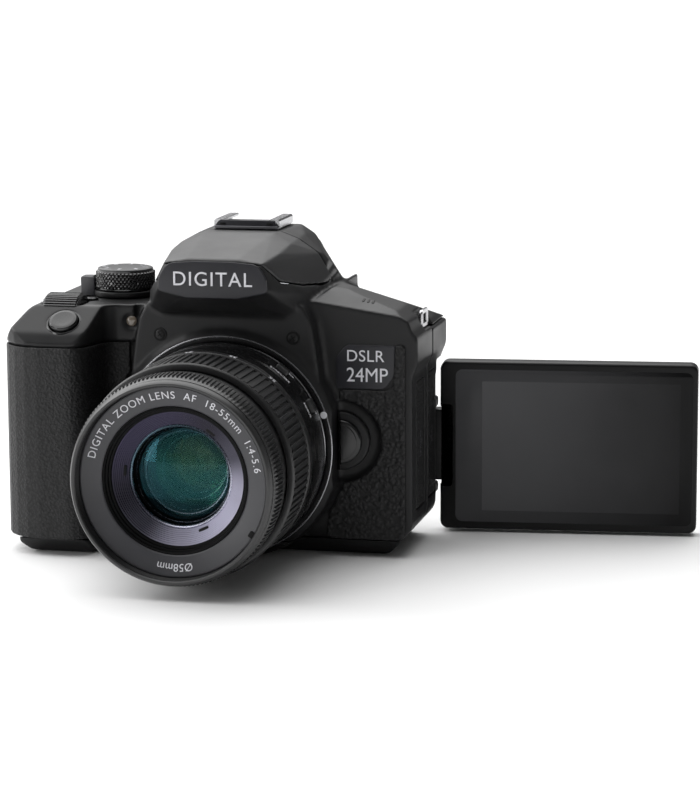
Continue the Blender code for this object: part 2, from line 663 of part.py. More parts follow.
def make_back_controls(rear_cover, top_cover):
    for name, x, z, radius in BACK_BUTTONS:
        place = (x, BODY_BACK, z)
        turned(name, drum(radius, -1.8, 0.9, 0.3), place, (0, 1, 0), "black", 20)
        holder = top_cover if z > 66.4 else rear_cover
        cut(holder, turned(name + "_room", drum(radius + 0.35, -6, 5, 0), place, (0, 1, 0), steps=20))

    x, z = QUICK_DIAL
    place = (x, BODY_BACK, z)
    turned("quick_dial", sleeve(9.2, 13.0, -1.4, 1.2, 0.4), place, (0, 1, 0), "black", 36)
    turned("cross_keys", sleeve(4.2, 8.8, -1.4, 0.8, 0.3), place, (0, 1, 0), "black", 32)
    turned("set_button", drum(3.8, -1.4, 1.1, 0.4), place, (0, 1, 0), "black", 24)
    cut(rear_cover, turned("quick_room", drum(13.45, -1.8, 5, 0), place, (0, 1, 0), steps=40))


# ---- swing-out screen ----------------------------------------------------------------------
def make_screen(rear_cover):
    """The screen panel in its opened position, on a block that turns on an upright pin."""
    for low, high in ((SCREEN_Z - 15.8, SCREEN_Z - 12.2), (SCREEN_Z + 12.2, SCREEN_Z + 15.8)):
        join(rear_cover, box("hinge_tab_%d" % high, (HINGE_X - 1.9, 17.0, low), (HINGE_X + 1.5, 24.3, high)))

    pivot = bpy.data.objects.new("screen_pivot", None)
    PARTS.objects.link(pivot)
    pivot.location = Vector((HINGE_X, HINGE_Y, SCREEN_Z)) * MM
    pivot.rotation_euler = (0, 0, math.radians(180 - SCREEN_OPEN))

    block = box("screen_hinge_block", (-1.9, -3.2, -11.6), (4.8, 3.2, 11.6), "black", 0.5, 1)
    block.parent = pivot

    end = SCREEN_START + SCREEN_LONG
    half = SCREEN_TALL / 2
    thick = SCREEN_THICK / 2
    outline = rounded([(SCREEN_START, -half, 3), (end, -half, 3), (end, half, 3), (SCREEN_START, half, 3)])
    split = thick - 2.2
    back = plate("screen_housing", [outline], "Y", -split, thick, "black", edge=0.8, edge_steps=1)
    front = plate("screen_bezel", [outline], "Y", -thick, -split - GAP, "black")
    notch = box("screen_notch", (-5, -10, -12.5), (SCREEN_START + 3.2, 10, 12.5))
    window = rounded([(13.5, -22.4, 1), (end - 5.0, -22.4, 1), (end - 5.0, 22.4, 1), (13.5, 22.4, 1)], 2)
    opening = plate("screen_window", [window], "Y", -10, 10)
    pane = plate("screen_display", [inset(window, GAP)], "Y", -thick + 0.3, -split - GAP, "glass")
    for item in (back, front, pane, notch, opening):
        item.parent = pivot
    cut(back, notch)
    cut(front, notch, opening)


# ---- lens ------------------------------------------------------------------------------------
def make_lens(pin_hole):
    barrel = lens_part("rear_barrel", [(29.2, 19.6), (32.6, 19.6), (32.9, 19.2), (32.9, 14), (BARREL_RADIUS, 13),
                                       (BARREL_RADIUS, 3.2), (32.4, 1.6), (31.9, GAP), (25.0, GAP), (25.0, -4.4),
                                       (21.0, -4.4), (21.0, 2.0), (29.2, 2.0)], "black", 40)
    pocket = turned("pin_pocket", drum(1.6, -1, 1.8, 0), (pin_hole.location.x / MM, FLANGE_Y, pin_hole.location.z / MM),
                    (0, -1, 0), steps=12)
    cut(barrel, pocket)
    for name, degrees in (("stabiliser_switch", 51.0), ("focus_mode_switch", 27.0)):
        angle = math.radians(degrees)
        outward = Vector((math.cos(angle), 0, math.sin(angle)))
        centre = Vector((0, FLANGE_Y - 8.5, AXIS_Z)) + outward * 33.0
        knob = box(name, (-2.4, -1.6, 0.1), (2.4, 1.6, 1.7), "black", 0.4, 1)
        slot = box(name + "_slot", (-2.7, -2.0, -0.8), (5.0, 2.0, 4))
        for item in (knob, slot):
            item.location = centre * MM
            item.rotation_euler = outward.to_track_quat("Z", "X").to_euler()
        cut(barrel, slot)

    lens_part("zoom_ring", [(30.9, 43.0), (32.6, 43.0), (33.2, 42.2), (33.2, 23.0), (32.4, 20.6), (31.9, 19.9),
                            (30.9, 19.9)], "black", 40)
    lens_part("focus_ring", [(30.3, 59.0), (30.9, 59.0), (31.7, 58.0), (31.7, 48.0), (31.0, 46.0), (30.3, 46.0)],
              "black", 40)
    lens_part("inner_barrel", [(29.2, LENS_LENGTH), (29.9, LENS_LENGTH), (30.8, 60.8), (30.8, 59.4), (30.0, 59.4),
                               (30.0, 45.4), (30.5, 45.4), (30.5, 21.0), (28.4, 21.0), (28.4, 56.0), (29.2, 57.2)],
              "black", 40)
    lens_part("name_ring", [(21.4, 57.4), (28.7, 57.2), (28.0, 55.4), (28.0, 54.4), (20.2, 50.0), (17.2, 46.6),
                            (15.2, 46.6), (15.2, 47.4), (16.4, 48.2), (19.0, 51.4), (20.4, 55.6)], "grey", 40)
    lens_part("front_element", [(0, 47.4), (7, 46.9), (12, 45.4), (14.8, 43.6), (14.8, 40), (0, 40)], "glass", 36)
    lens_part("rear_element", [(0, 1.4), (20.2, 1.4), (20.2, -1.6), (12, -2.6), (0, -3.2)], "glass", 36)


# ---- assembly --------------------------------------------------------------------------------
def main():
    form = make_body_form()
    front_cover, rear_cover, bottom_cover, top_cover = make_covers(form)
    make_skins()
    pin_hole = make_mount(front_cover)
    make_mirror_box()
    make_shutter_and_sensor()
    make_viewfinder(top_cover)
    make_flash(form, top_cover)
    make_hot_shoe()
    make_top_controls(top_cover)
    make_strap_lug("strap_lug_right", BODY_RIGHT - 0.5, 1, top_cover)
    make_strap_lug("strap_lug_left", BODY_LEFT + 1.5, -1, top_cover)
    make_doors(bottom_cover, rear_cover, front_cover)
    make_tripod_socket(bottom_cover)
    make_back_controls(rear_cover, top_cover)
    make_screen(rear_cover)
    make_lens(pin_hole)


main()
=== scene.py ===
"""Looks of a digital single-lens reflex camera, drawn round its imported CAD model.

Sizes are in millimetres unless a name says otherwise. x = 0 is the lens axis, -Y is the front,
z = 0 is the base. Each section makes one group of pieces and says which CAD nodes they stand for.
"""
import json
import math

import bmesh
import bpy
from mathutils import Matrix, Vector


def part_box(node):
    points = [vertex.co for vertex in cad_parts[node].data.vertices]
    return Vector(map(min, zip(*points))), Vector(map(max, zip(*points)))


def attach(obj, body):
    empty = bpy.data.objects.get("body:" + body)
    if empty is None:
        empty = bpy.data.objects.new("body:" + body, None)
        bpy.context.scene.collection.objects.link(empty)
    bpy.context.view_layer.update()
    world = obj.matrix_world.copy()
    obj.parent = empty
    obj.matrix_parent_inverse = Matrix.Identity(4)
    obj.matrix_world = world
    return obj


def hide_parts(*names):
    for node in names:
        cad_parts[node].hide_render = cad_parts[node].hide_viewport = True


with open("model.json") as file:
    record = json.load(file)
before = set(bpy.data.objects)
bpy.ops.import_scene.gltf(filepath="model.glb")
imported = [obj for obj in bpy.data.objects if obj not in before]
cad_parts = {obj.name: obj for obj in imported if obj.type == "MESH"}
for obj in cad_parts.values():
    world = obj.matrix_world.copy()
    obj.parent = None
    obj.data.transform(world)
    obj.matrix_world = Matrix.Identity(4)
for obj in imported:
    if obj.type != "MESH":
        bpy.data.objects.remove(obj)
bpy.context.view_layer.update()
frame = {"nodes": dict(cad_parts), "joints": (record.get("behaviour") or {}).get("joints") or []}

MM = 0.001


def box_mm(node):
    """The low corner, high corner and middle of a CAD node's box, in millimetres."""
    low, high = (Vector(corner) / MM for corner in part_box(node))
    return low, high, (low + high) / 2


# ---- driving sizes, read from the frame ----
FLANGE_Y = box_mm("lens_mount_ring")[0].y
AXIS_Z = box_mm("lens_mount_ring")[2].z
BACK_Y = box_mm("rear_cover")[1].y
BEAK_Y = box_mm("flash_lid")[0].y
FORWARD, BACKWARD, UP, ALONG_X = (0, -1, 0), (0, 1, 0), (0, 0, 1), (1, 0, 0)
LENS_SEAT = (0, FLANGE_Y, AXIS_Z)
FRONT = Matrix(((1, 0, 0), (0, 0, -1), (0, 1, 0)))       # local x, y, z to a face that looks along -Y
BACK = Matrix(((-1, 0, 0), (0, 0, 1), (0, 1, 0)))        # to a face that looks along +Y
RIGHT = Matrix(((0, 0, 1), (1, 0, 0), (0, 1, 0)))        # to a face that looks along +X
LEFT = Matrix(((0, 0, -1), (-1, 0, 0), (0, 1, 0)))       # to a face that looks along -X
TOP = Matrix.Identity(3)                                 # to a face that looks up
UNDER = Matrix(((1, 0, 0), (0, -1, 0), (0, 0, -1)))      # to a face that looks down
FLIP = Matrix(((1, 0, 0), (0, 1, 0), (0, 0, -1)))        # to the back of the same face

# ---- places and sizes that the frame does not hold ----
BARREL_RADIUS = 33.2           # the lens's fixed barrel, outside
NAME_WORDS = dict(height=2.35, radius=25.7, distance=57.1, body="lens_barrel", slope=0.278)
LAMP_SEAT = (-31.2, -23.4, 72.7)            # of the self-timer lamp
SCREW_X = {"left": -20.6, "right": 22.0}    # the two screws beside the lens mount
SCREW_DEPTH, SCREW_Z = 1.95, 69.4           # their seat behind the flange, and their height
MICROPHONE_X = (41.4, 42.9, 44.4)
MICROPHONE_Y = -14
BASE_SCREWS = ((-34, -12), (-34, 20), (45, -10), (45, 18), (22, 20))
SHOULDER_EDGE = (34, -22, 79.2)             # a point of the right shoulder's sloping plane
SHOULDER_FALL = (0.152, 0.223)              # how far it falls per millimetre to the right and to the front
SHOULDER_BACK = (31, 83.6, 0.29, 0.21)      # its rear plane: x, height at y = 0, fall to the right and back
# the shoulder's outline from the front, as (x, z)
SHOULDER_LINE = ((30.6, 84.0), (36, 82.0), (45, 79.4), (52.5, 77.3), (57, 74.6), (58.6, 70.5), (62, 70))
CUT_TOP = 90                                # above everything that is cut away
# outlines of the badge and of the name panel, as (x, z, corner radius)
BADGE = ((34.3, 53.2, 0.6), (49.6, 53.2, 3.2), (52.8, 57.6, 3.0), (53.0, 67.0, 0.6), (37.6, 67.0, 3.2),
         (34.3, 63.0, 3.0))
NAME_PANEL = ((-17.3, 85.0, 1.5), (-8, 83.0, 10), (8, 83.0, 10), (17.3, 85.0, 1.5), (17.0, 89.0, 2),
              (14.6, 93.6, 5.0), (6, 94.3, 12), (-6, 94.3, 12), (-14.6, 93.6, 5.0), (-17.0, 89.0, 2))
# the hot shoe's contacts: x, y from its middle, radius
SHOE_CONTACTS = ((0, 0, 1.9), (-2.6, 4.2, 0.95), (2.6, 4.2, 0.95), (-3.6, -3.6, 0.95), (3.6, -3.6, 0.95))
ZOOM_MARKS = (("18", -30), ("24", -8), ("35", 16), ("55", 40))      # number and degrees from the top
ELEMENT_EDGES = ((14.3, 45.7, 0.10), (11.75, 41.3, 0.16), (10.6, 38.5, 0.12), (7.3, 35.0, 0.14),
                 (5.5, 32.3, 0.10), (2.85, 27.5, 0.16))             # radius, distance, half thickness
# start of the node's name, word, and how far the word lies above the button's middle
BACK_BUTTONS = (("menu", "MENU", 4.6), ("live_view", "LIVE", 4.6), ("ae_lock", "LOCK", -4.0),
                ("af_point", "AREA", 3.6), ("playback", "PLAY", -4.2), ("erase", "DEL", -4.2))
SCREEN_LEFT, SCREEN_RIGHT, SCREEN_HALF, SCREEN_THICK = 2.4, 85.2, 27.5, 3.8    # from the hinge's pivot
INDEX_RADIUS, INDEX_TURN = 33.9, (34.0, 11.6)    # the mount's index: distance and (x, z) way from the axis
FINE = 2.0                                  # noise detail for fine grain


# ---- materials ----
def new_material(name):
    made = bpy.data.materials.new(name)
    made.use_nodes = True
    return made, made.node_tree.nodes, made.node_tree.links, made.node_tree.nodes["Principled BSDF"]


def put(node, **values):
    """Sets a node's inputs, named with _ for a space."""
    for name, value in values.items():
        node.inputs[name.replace("_", " ")].default_value = value


def place_node(nodes, links):
    """Object coordinates in millimetres."""
    where = nodes.new("ShaderNodeTexCoord")
    sized = nodes.new("ShaderNodeVectorMath")
    sized.operation = "SCALE"
    put(sized, Scale=1.0 / MM)
    links.new(where.outputs["Object"], sized.inputs[0])
    return sized.outputs[0]


def ramp_node(nodes, links, source, low, high, start=0.3, end=0.7):
    ramp = nodes.new("ShaderNodeValToRGB")
    for stop, place, colour in zip(ramp.color_ramp.elements, (start, end), (low, high)):
        stop.position = place
        stop.color = (*colour, 1)
    links.new(source, ramp.inputs[0])
    return ramp.outputs[0]


def range_node(nodes, links, source, low, high, start=0.3, end=0.7):
    sized = nodes.new("ShaderNodeMapRange")
    put(sized, From_Min=start, From_Max=end, To_Min=low, To_Max=high)
    links.new(source, sized.inputs["Value"])
    return sized.outputs[0]


def noise_node(nodes, links, where, scale, detail=3.0, rough=0.55):
    made = nodes.new("ShaderNodeTexNoise")
    put(made, Scale=scale, Detail=detail, Roughness=rough)
    links.new(where, made.inputs["Vector"])
    return made.outputs["Fac"]


def bump_node(nodes, links, height, depth, before=None):
    made = nodes.new("ShaderNodeBump")
    put(made, Strength=1.0, Distance=depth * MM)
    links.new(height, made.inputs["Height"])
    if before is not None:
        links.new(before, made.inputs["Normal"])
    return made.outputs["Normal"]


def vector_node(nodes, links, operation, source, second=None):
    made = nodes.new("ShaderNodeVectorMath")
    made.operation = operation
    links.new(source, made.inputs[0])
    if second is not None:
        made.inputs[1].default_value = second
    return made


def moulded(name, dark, light, rough, grain, depth, metallic=0.0, coat=0.0, specular=0.5):
    """Moulded plastic, paint or plated metal: a slow drift of colour and gloss over a fine grain."""
    made, nodes, links, shader = new_material(name)
    where = place_node(nodes, links)
    drift = noise_node(nodes, links, where, 0.06, 4.0)
    fine = noise_node(nodes, links, where, 1.0 / grain, FINE)
    links.new(ramp_node(nodes, links, drift, dark, light), shader.inputs["Base Color"])
    links.new(range_node(nodes, links, drift, rough - 0.05, rough + 0.05), shader.inputs["Roughness"])
    links.new(bump_node(nodes, links, fine, depth), shader.inputs["Normal"])
    put(shader, Metallic=metallic, Coat_Weight=coat, Coat_Roughness=0.12, Specular_IOR_Level=specular)
    return made


def leather(name, dark, light, cell, depth, rough):
    """Rubber skin with a pebbled grain: small uneven cells with soft valleys, and finer pores. Its colour
    carries painted shade: darker in the valleys and lighter on the cell tops.
    """
    made, nodes, links, shader = new_material(name)
    where = place_node(nodes, links)
    shake = nodes.new("ShaderNodeTexNoise")
    put(shake, Scale=0.9 / cell)
    links.new(where, shake.inputs["Vector"])
    moved = vector_node(nodes, links, "MULTIPLY_ADD", shake.outputs["Color"], (cell, cell, cell))
    links.new(where, moved.inputs[2])
    cells = nodes.new("ShaderNodeTexVoronoi")
    cells.feature = "SMOOTH_F1"
    put(cells, Scale=1.0 / cell, Smoothness=0.35)
    links.new(moved.outputs[0], cells.inputs["Vector"])
    dome = range_node(nodes, links, cells.outputs["Distance"], 1.0, 0.0, 0.05, 0.75)
    pores = noise_node(nodes, links, where, 3.2 / cell, 3.0, 0.6)
    # painted shade: the colour is darker in the valleys and lighter on the cell tops
    links.new(ramp_node(nodes, links, dome, dark, light, 0.1, 0.9), shader.inputs["Base Color"])
    links.new(range_node(nodes, links, pores, rough - 0.08, rough + 0.1), shader.inputs["Roughness"])
    first = bump_node(nodes, links, dome, depth)
    links.new(bump_node(nodes, links, pores, depth * 0.35, first), shader.inputs["Normal"])
    put(shader, Specular_IOR_Level=0.35)
    return made


def glass(name, tint, reflect):
    """Clear coated glass, whose reflections take the coating's colour."""
    made, nodes, links, shader = new_material(name)
    where = place_node(nodes, links)
    haze = noise_node(nodes, links, where, 0.35, FINE)
    links.new(range_node(nodes, links, haze, 0.03, 0.05), shader.inputs["Roughness"])
    put(shader, Base_Color=(*tint, 1), Transmission_Weight=1.0, IOR=1.5, Specular_Tint=(*reflect, 1),
            Specular_IOR_Level=0.6)
    return made


def brushed(name, dark, light, rough, along):
    """Plated metal with fine drawn lines along one axis."""
    made, nodes, links, shader = new_material(name)
    where = place_node(nodes, links)
    stretch = vector_node(nodes, links, "MULTIPLY", where, along)
    lines = noise_node(nodes, links, stretch.outputs[0], 6.0, 4.0)
    links.new(ramp_node(nodes, links, lines, dark, light), shader.inputs["Base Color"])
    links.new(range_node(nodes, links, lines, rough - 0.06, rough + 0.08), shader.inputs["Roughness"])
    links.new(bump_node(nodes, links, lines, 0.006), shader.inputs["Normal"])
    put(shader, Metallic=1.0)
    return made


def screen_face(name, left, right, across, rough):
    """Dark glass over the picture area, with a painted reflection: its grey fades from one side to the other.
    """
    made, nodes, links, shader = new_material(name)
    where = place_node(nodes, links)
    split = nodes.new("ShaderNodeSeparateXYZ")
    links.new(where, split.inputs[0])
    smear_and_reflection_bend = noise_node(nodes, links, where, 0.03, FINE)
    bend = nodes.new("ShaderNodeMath")
    bend.operation = "MULTIPLY_ADD"
    bend.inputs[1].default_value = 18.0
    links.new(smear_and_reflection_bend, bend.inputs[0])
    links.new(split.outputs["X"], bend.inputs[2])
    share = range_node(nodes, links, bend.outputs[0], 0, 1, *across)
    links.new(ramp_node(nodes, links, share, left, right, 0, 1), shader.inputs["Base Color"])
    links.new(range_node(nodes, links, smear_and_reflection_bend, rough, rough + 0.04), shader.inputs["Roughness"])
    put(shader, Specular_IOR_Level=0.12)
    return made


def painted_light_ring(name, stops, rough, metallic):
    """A ring about the lens axis with painted light: its colour runs from painted shade at the upper left to
    a painted reflection at the lower right.

    stops: (share from -1 at the upper left to 1 at the lower right, colour)."""
    made, nodes, links, shader = new_material(name)
    where = place_node(nodes, links)
    centre = vector_node(nodes, links, "SUBTRACT", where, (0, 0, AXIS_Z))
    flat = vector_node(nodes, links, "MULTIPLY", centre.outputs[0], (1, 0, 1))
    unit = vector_node(nodes, links, "NORMALIZE", flat.outputs[0])
    side = vector_node(nodes, links, "DOT_PRODUCT", unit.outputs[0], Vector((0.62, 0, -0.78)))
    share = range_node(nodes, links, side.outputs["Value"], 0, 1, -1, 1)
    ramp = nodes.new("ShaderNodeValToRGB")
    ramp.color_ramp.interpolation = "EASE"
    for index, (place, colour) in enumerate(stops):
        stop = ramp.color_ramp.elements[index] if index < 2 else ramp.color_ramp.elements.new(1)
        stop.position = (place + 1) / 2
        stop.color = (*colour, 1)
    links.new(share, ramp.inputs[0])
    links.new(ramp.outputs[0], shader.inputs["Base Color"])
    fine = noise_node(nodes, links, where, 1.0 / 0.3, FINE)
    links.new(range_node(nodes, links, fine, rough - 0.04, rough + 0.04), shader.inputs["Roughness"])
    links.new(bump_node(nodes, links, fine, 0.01), shader.inputs["Normal"])
    put(shader, Metallic=metallic)
    return made


def grey(value, tint=1.05):
    return (value, value, value * tint)


# ---- paints ----
# plastics and metals: material, dark and light greys, roughness, size and depth of the grain, other settings
GREYS = {
    "shell": ("shell", 0.0105, 0.0145, 0.42, 0.22, 0.014, dict(specular=0.30)),
    # flash lid: the shell's plastic painted lighter, as painted light on its lit top
    "lid": ("flash_lid_painted_light", 0.016, 0.022, 0.46, 0.20, 0.016, dict(specular=0.55)),
    "base": ("base_plastic", 0.009, 0.012, 0.50, 0.30, 0.016, dict(specular=0.30)),
    "black": ("black_plastic", 0.006, 0.009, 0.38, 0.25, 0.008, dict(specular=0.30)),
    "gloss": ("glossy_barrel", 0.004, 0.006, 0.24, 0.5, 0.004, dict(coat=0.15, specular=0.4)),
    "button": ("button_plastic", 0.006, 0.009, 0.24, 0.4, 0.003, dict(coat=0.25, specular=0.4)),
    "ring": ("ring_plastic", 0.012, 0.016, 0.36, 0.25, 0.010, dict(specular=0.70)),
    "dial": ("dial_plastic", 0.008, 0.012, 0.20, 0.25, 0.004, dict(specular=0.9)),
    "rubber": ("zoom_rubber", 0.012, 0.016, 0.44, 0.2, 0.02, dict(specular=0.55)),
    "dial_top": ("dial_top_grey", 0.030, 0.038, 0.36, 0.3, 0.010, {}),
    "inner": ("inner_black", 0.003, 0.004, 0.50, 1.5, 0.002, dict(specular=0.12)),
    "frame": ("screen_frame", 0.006, 0.008, 0.34, 0.4, 0.004, dict(specular=0.20)),
    "silver": ("silver_edge", 0.30, 0.40, 0.25, 0.5, 0.003, dict(metallic=0.9)),
    "white": ("white_paint", 0.66, 0.76, 0.50, 0.15, 0.006, {}),
    "letter": ("silver_letters", 0.70, 0.82, 0.40, 0.2, 0.006, dict(metallic=0.1)),
    "mirror": ("mirror_silver", 0.72, 0.78, 0.05, 1.0, 0.001, dict(metallic=1.0)),
    # recess: a near-black paint of painted shade, for the shade inside notches, slots and holes
    "recess": ("recess_painted_shade", 0.002, 0.004, 0.5, 0.3, 0.01, dict(specular=0.2)),
}
# round the lens, painted light and shade: share of the way from the upper left (-1) to the lower right (1),
# and colour
BAFFLE_PAINTED_LIGHT = ((-1.0, (0.035, 0.030, 0.060)), (-0.35, (0.020, 0.018, 0.030)), (0.25, (0.060, 0.058, 0.080)),
                 (0.8, (0.34, 0.33, 0.42)), (1.0, (0.40, 0.39, 0.50)))
EDGE_PAINTED_LIGHT = ((-1.0, (0.10, 0.16, 0.20)), (0.0, (0.12, 0.12, 0.16)), (1.0, (0.55, 0.55, 0.66)))
# the screen's grey fade is a painted reflection
SCREEN_REFLECTION_FADE = (64, 146)        # x where the screen's grey starts and ends its fade


def make_materials():
    paints = {
        "name": moulded("name_ring_grey", grey(0.040, 1.12), grey(0.050, 1.12), 0.40, 0.3, 0.010),
        "panel": moulded("name_panel", (0.016, 0.016, 0.020), (0.022, 0.022, 0.027), 0.36, 0.3, 0.008,
                         specular=0.4),
        # baffle and retainer: reflections and shade are painted into the colour round the lens
        "baffle": painted_light_ring("baffle_painted_light", BAFFLE_PAINTED_LIGHT, 0.42, 0.60),
        "retainer": painted_light_ring("retainer_painted_light", EDGE_PAINTED_LIGHT, 0.26, 0.9),
        "grip": leather("grip_rubber", grey(0.005), grey(0.018), 0.85, 0.17, 0.50),
        "skin": leather("side_leather", grey(0.004), grey(0.020), 1.25, 0.30, 0.44),
        "eyecup": leather("eyecup_rubber", grey(0.008), grey(0.012), 0.5, 0.03, 0.70),
        "steel": brushed("plated_steel", (0.42, 0.42, 0.43), (0.58, 0.58, 0.60), 0.24, (0.15, 2.0, 2.0)),
        "dark_steel": brushed("shoe_steel", (0.10, 0.10, 0.11), (0.17, 0.17, 0.18), 0.36, (1.5, 0.15, 1.5)),
        "lamp": moulded("lamp_lens", (0.16, 0.13, 0.10), (0.24, 0.20, 0.15), 0.16, 0.8, 0.01, coat=0.8),
        "glass": glass("front_glass", (0.80, 0.86, 0.86), (0.10, 0.40, 0.50)),
        "glass_green": glass("second_glass", (0.50, 0.66, 0.54), (0.04, 0.30, 0.18)),
        "glass_amber": glass("third_glass", (1.0, 0.97, 0.9), (0.75, 0.55, 0.25)),
        "clear": glass("clear_glass", (0.9, 0.92, 0.95), (1.0, 1.0, 1.0)),
        "sensor": moulded("sensor_face", (0.05, 0.09, 0.10), (0.09, 0.07, 0.12), 0.08, 1.0, 0.001, coat=1.0),
        # screen glass and picture: the lighter grey at the left is a painted reflection
        "cover_glass": screen_face("cover_glass", grey(0.088), grey(0.006), SCREEN_REFLECTION_FADE, 0.12),
        "picture": screen_face("picture_area", grey(0.115), grey(0.009), SCREEN_REFLECTION_FADE, 0.14),
    }
    for paint, (name, dark, light, rough, grain, depth, more) in GREYS.items():
        paints[paint] = moulded(name, grey(dark), grey(light), rough, grain, depth, **more)
    return paints


PAINT = make_materials()


# ---- mesh helpers ----
def linked(name, data):
    """A new object of the scene that holds a mesh, a curve, a light or a camera."""
    made = bpy.data.objects.new(name, data)
    bpy.context.scene.collection.objects.link(made)
    return made


def mesh_of(form, name):
    """The mesh of a finished bmesh."""
    mesh = bpy.data.meshes.new(name)
    form.to_mesh(mesh)
    form.free()
    return mesh


def placed(shape, turn, centre, height=0.0):
    """Flat points at a height of a turned frame."""
    return [turn @ Vector((point.x, point.y, height)) + Vector(centre) for point in shape]


def add_object(name, mesh, paint, body="root", instead=(), sharp=32):
    """Links a finished mesh as a piece that rides on a body and stands for CAD nodes."""
    piece = linked(name, mesh)
    mesh.materials.clear()
    mesh.materials.append(PAINT[paint])
    mesh.shade_smooth()
    if sharp:
        mesh.set_sharp_from_angle(angle=math.radians(sharp))
    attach(piece, body)
    if instead:
        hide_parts(*instead)
    return piece


def mesh_from(name, points, faces):
    """A mesh from points in millimetres, with its faces turned outward."""
    mesh = bpy.data.meshes.new(name)
    mesh.from_pydata([Vector(point) * MM for point in points], [], faces)
    form = bmesh.new()
    form.from_mesh(mesh)
    bmesh.ops.recalc_face_normals(form, faces=form.faces)
    form.to_mesh(mesh)
    form.free()
    return mesh


def outline(corners, steps=8):
    """A closed outline through corners (u, v, radius), each turned on its radius."""
    points = []
    count = len(corners)
    for index, (u, v, radius) in enumerate(corners):
        corner = Vector((u, v))
        if radius <= 0:
            points.append(corner)
            continue
        before = Vector(corners[index - 1][:2]) - corner
        after = Vector(corners[(index + 1) % count][:2]) - corner
        half = before.angle(after) / 2
        reach = min(radius / math.tan(half), before.length * 0.49, after.length * 0.49)
        turn = reach * math.tan(half)
        centre = corner + (before.normalized() + after.normalized()).normalized() * turn / math.sin(half)
        start = corner + before.normalized() * reach - centre
        sweep = start.angle_signed(corner + after.normalized() * reach - centre)
        for step in range(steps + 1):
            points.append(centre + Matrix.Rotation(-sweep * step / steps, 2) @ start)
    return points


def rectangle(left, right, bottom, top, radius, steps=8):
    corners = [(left, bottom), (right, bottom), (right, top), (left, top)]
    return outline([(u, v, radius) for u, v in corners], steps)


def centred(wide, tall, radius, steps=8):
    """A rectangle about the origin, from half its width and half its height."""
    return rectangle(-wide, wide, -tall, tall, radius, steps)


def oval(radius, steps):
    return [point.xy for point in circle(radius, steps)]


def grown(points, amount):
    """An outline moved outward by amount, or inward if it is negative."""
    area = sum(a.cross(b) for a, b in zip(points, points[1:] + points[:1]))
    sign = 1 if area > 0 else -1
    moved = []
    for index, point in enumerate(points):
        along = (points[(index + 1) % len(points)] - points[index - 1]).normalized()
        moved.append(point + Vector((along.y, -along.x)) * amount * sign)
    return moved


def stack(layers, closed_loop=False):
    """Points and faces of a skin through layers of equal-length rings, capped at both ends."""
    points = [point for layer in layers for point in layer]
    size = len(layers[0])
    faces = []
    count = len(layers)
    for level in range(count if closed_loop else count - 1):
        low, high = level * size, ((level + 1) % count) * size
        for step in range(size):
            after = (step + 1) % size
            faces.append((low + step, low + after, high + after, high + step))
    if not closed_loop:
        faces.append(tuple(reversed(range(size))))
        faces.append(tuple(range((count - 1) * size, count * size)))
    return points, faces


def pad(name, shape, turn, centre, low, high, paint, body="root", edge=0.3, steps=3, instead=()):
    """A slab with the outline shape, from low to high along the local z, with a rounded upper edge."""
    layers = [(low, 0.0)]
    for step in range(steps + 1):
        angle = math.pi / 2 * step / steps
        layers.append((high - edge + edge * math.sin(angle), edge * (math.cos(angle) - 1)))
    rings = []
    for height, inset in layers:
        ring = grown(shape, inset) if inset else shape
        rings.append(placed(ring, turn, centre, height))
    return add_object(name, mesh_from(name, *stack(rings)), paint, body, instead)


def eased(profile, radius):
    """A profile of (radius, height) points with each corner off the axis turned on a small radius."""
    corners = [(reach, height, radius if reach > 0.01 else 0) for reach, height in profile]
    return [tuple(point) for point in outline(corners, 3)]


def axis_turn(axis):
    """The turn that brings the local z to an axis."""
    return Vector(axis).normalized().to_track_quat("Z", "Y").to_matrix()


def lathe(name, profile, paint, place, axis, body="root", steps=144, instead=(), ease=0.25, sharp=32):
    """A closed profile of (radius, height) turned about an axis."""
    profile = eased(profile, ease) if ease else profile
    spin = axis_turn(axis)
    form = bmesh.new()
    verts = [form.verts.new((spin @ Vector((r, 0, h)) + Vector(place)) * MM) for r, h in profile]
    edges = [form.edges.new((verts[index], verts[(index + 1) % len(verts)])) for index in range(len(verts))]
    centre, along = Vector(place), spin @ Vector(UP)
    off_axis = [edge for edge in edges if any((vert.co / MM - centre).cross(along).length > 1e-4
            for vert in edge.verts)]
    bmesh.ops.spin(form, geom=off_axis + verts, cent=centre * MM, axis=along, angle=math.tau, steps=steps,
            use_merge=True)
    bmesh.ops.remove_doubles(form, verts=form.verts, dist=1e-7)
    bmesh.ops.delete(form, geom=[edge for edge in form.edges if not edge.link_faces], context="EDGES")
    bmesh.ops.recalc_face_normals(form, faces=form.faces)
    return add_object(name, mesh_of(form, name), paint, body, instead, sharp)


def lens_ring(name, profile, paint, body="root", **options):
    """A ring about the lens axis, its heights measured forward from the flange."""
    return lathe(name, profile, paint, LENS_SEAT, FORWARD, body, **options)


def circle(radius, count, height=0.0):
    turns = [math.tau * step / count for step in range(count)]
    return [Vector((radius * math.cos(turn), radius * math.sin(turn), height)) for turn in turns]


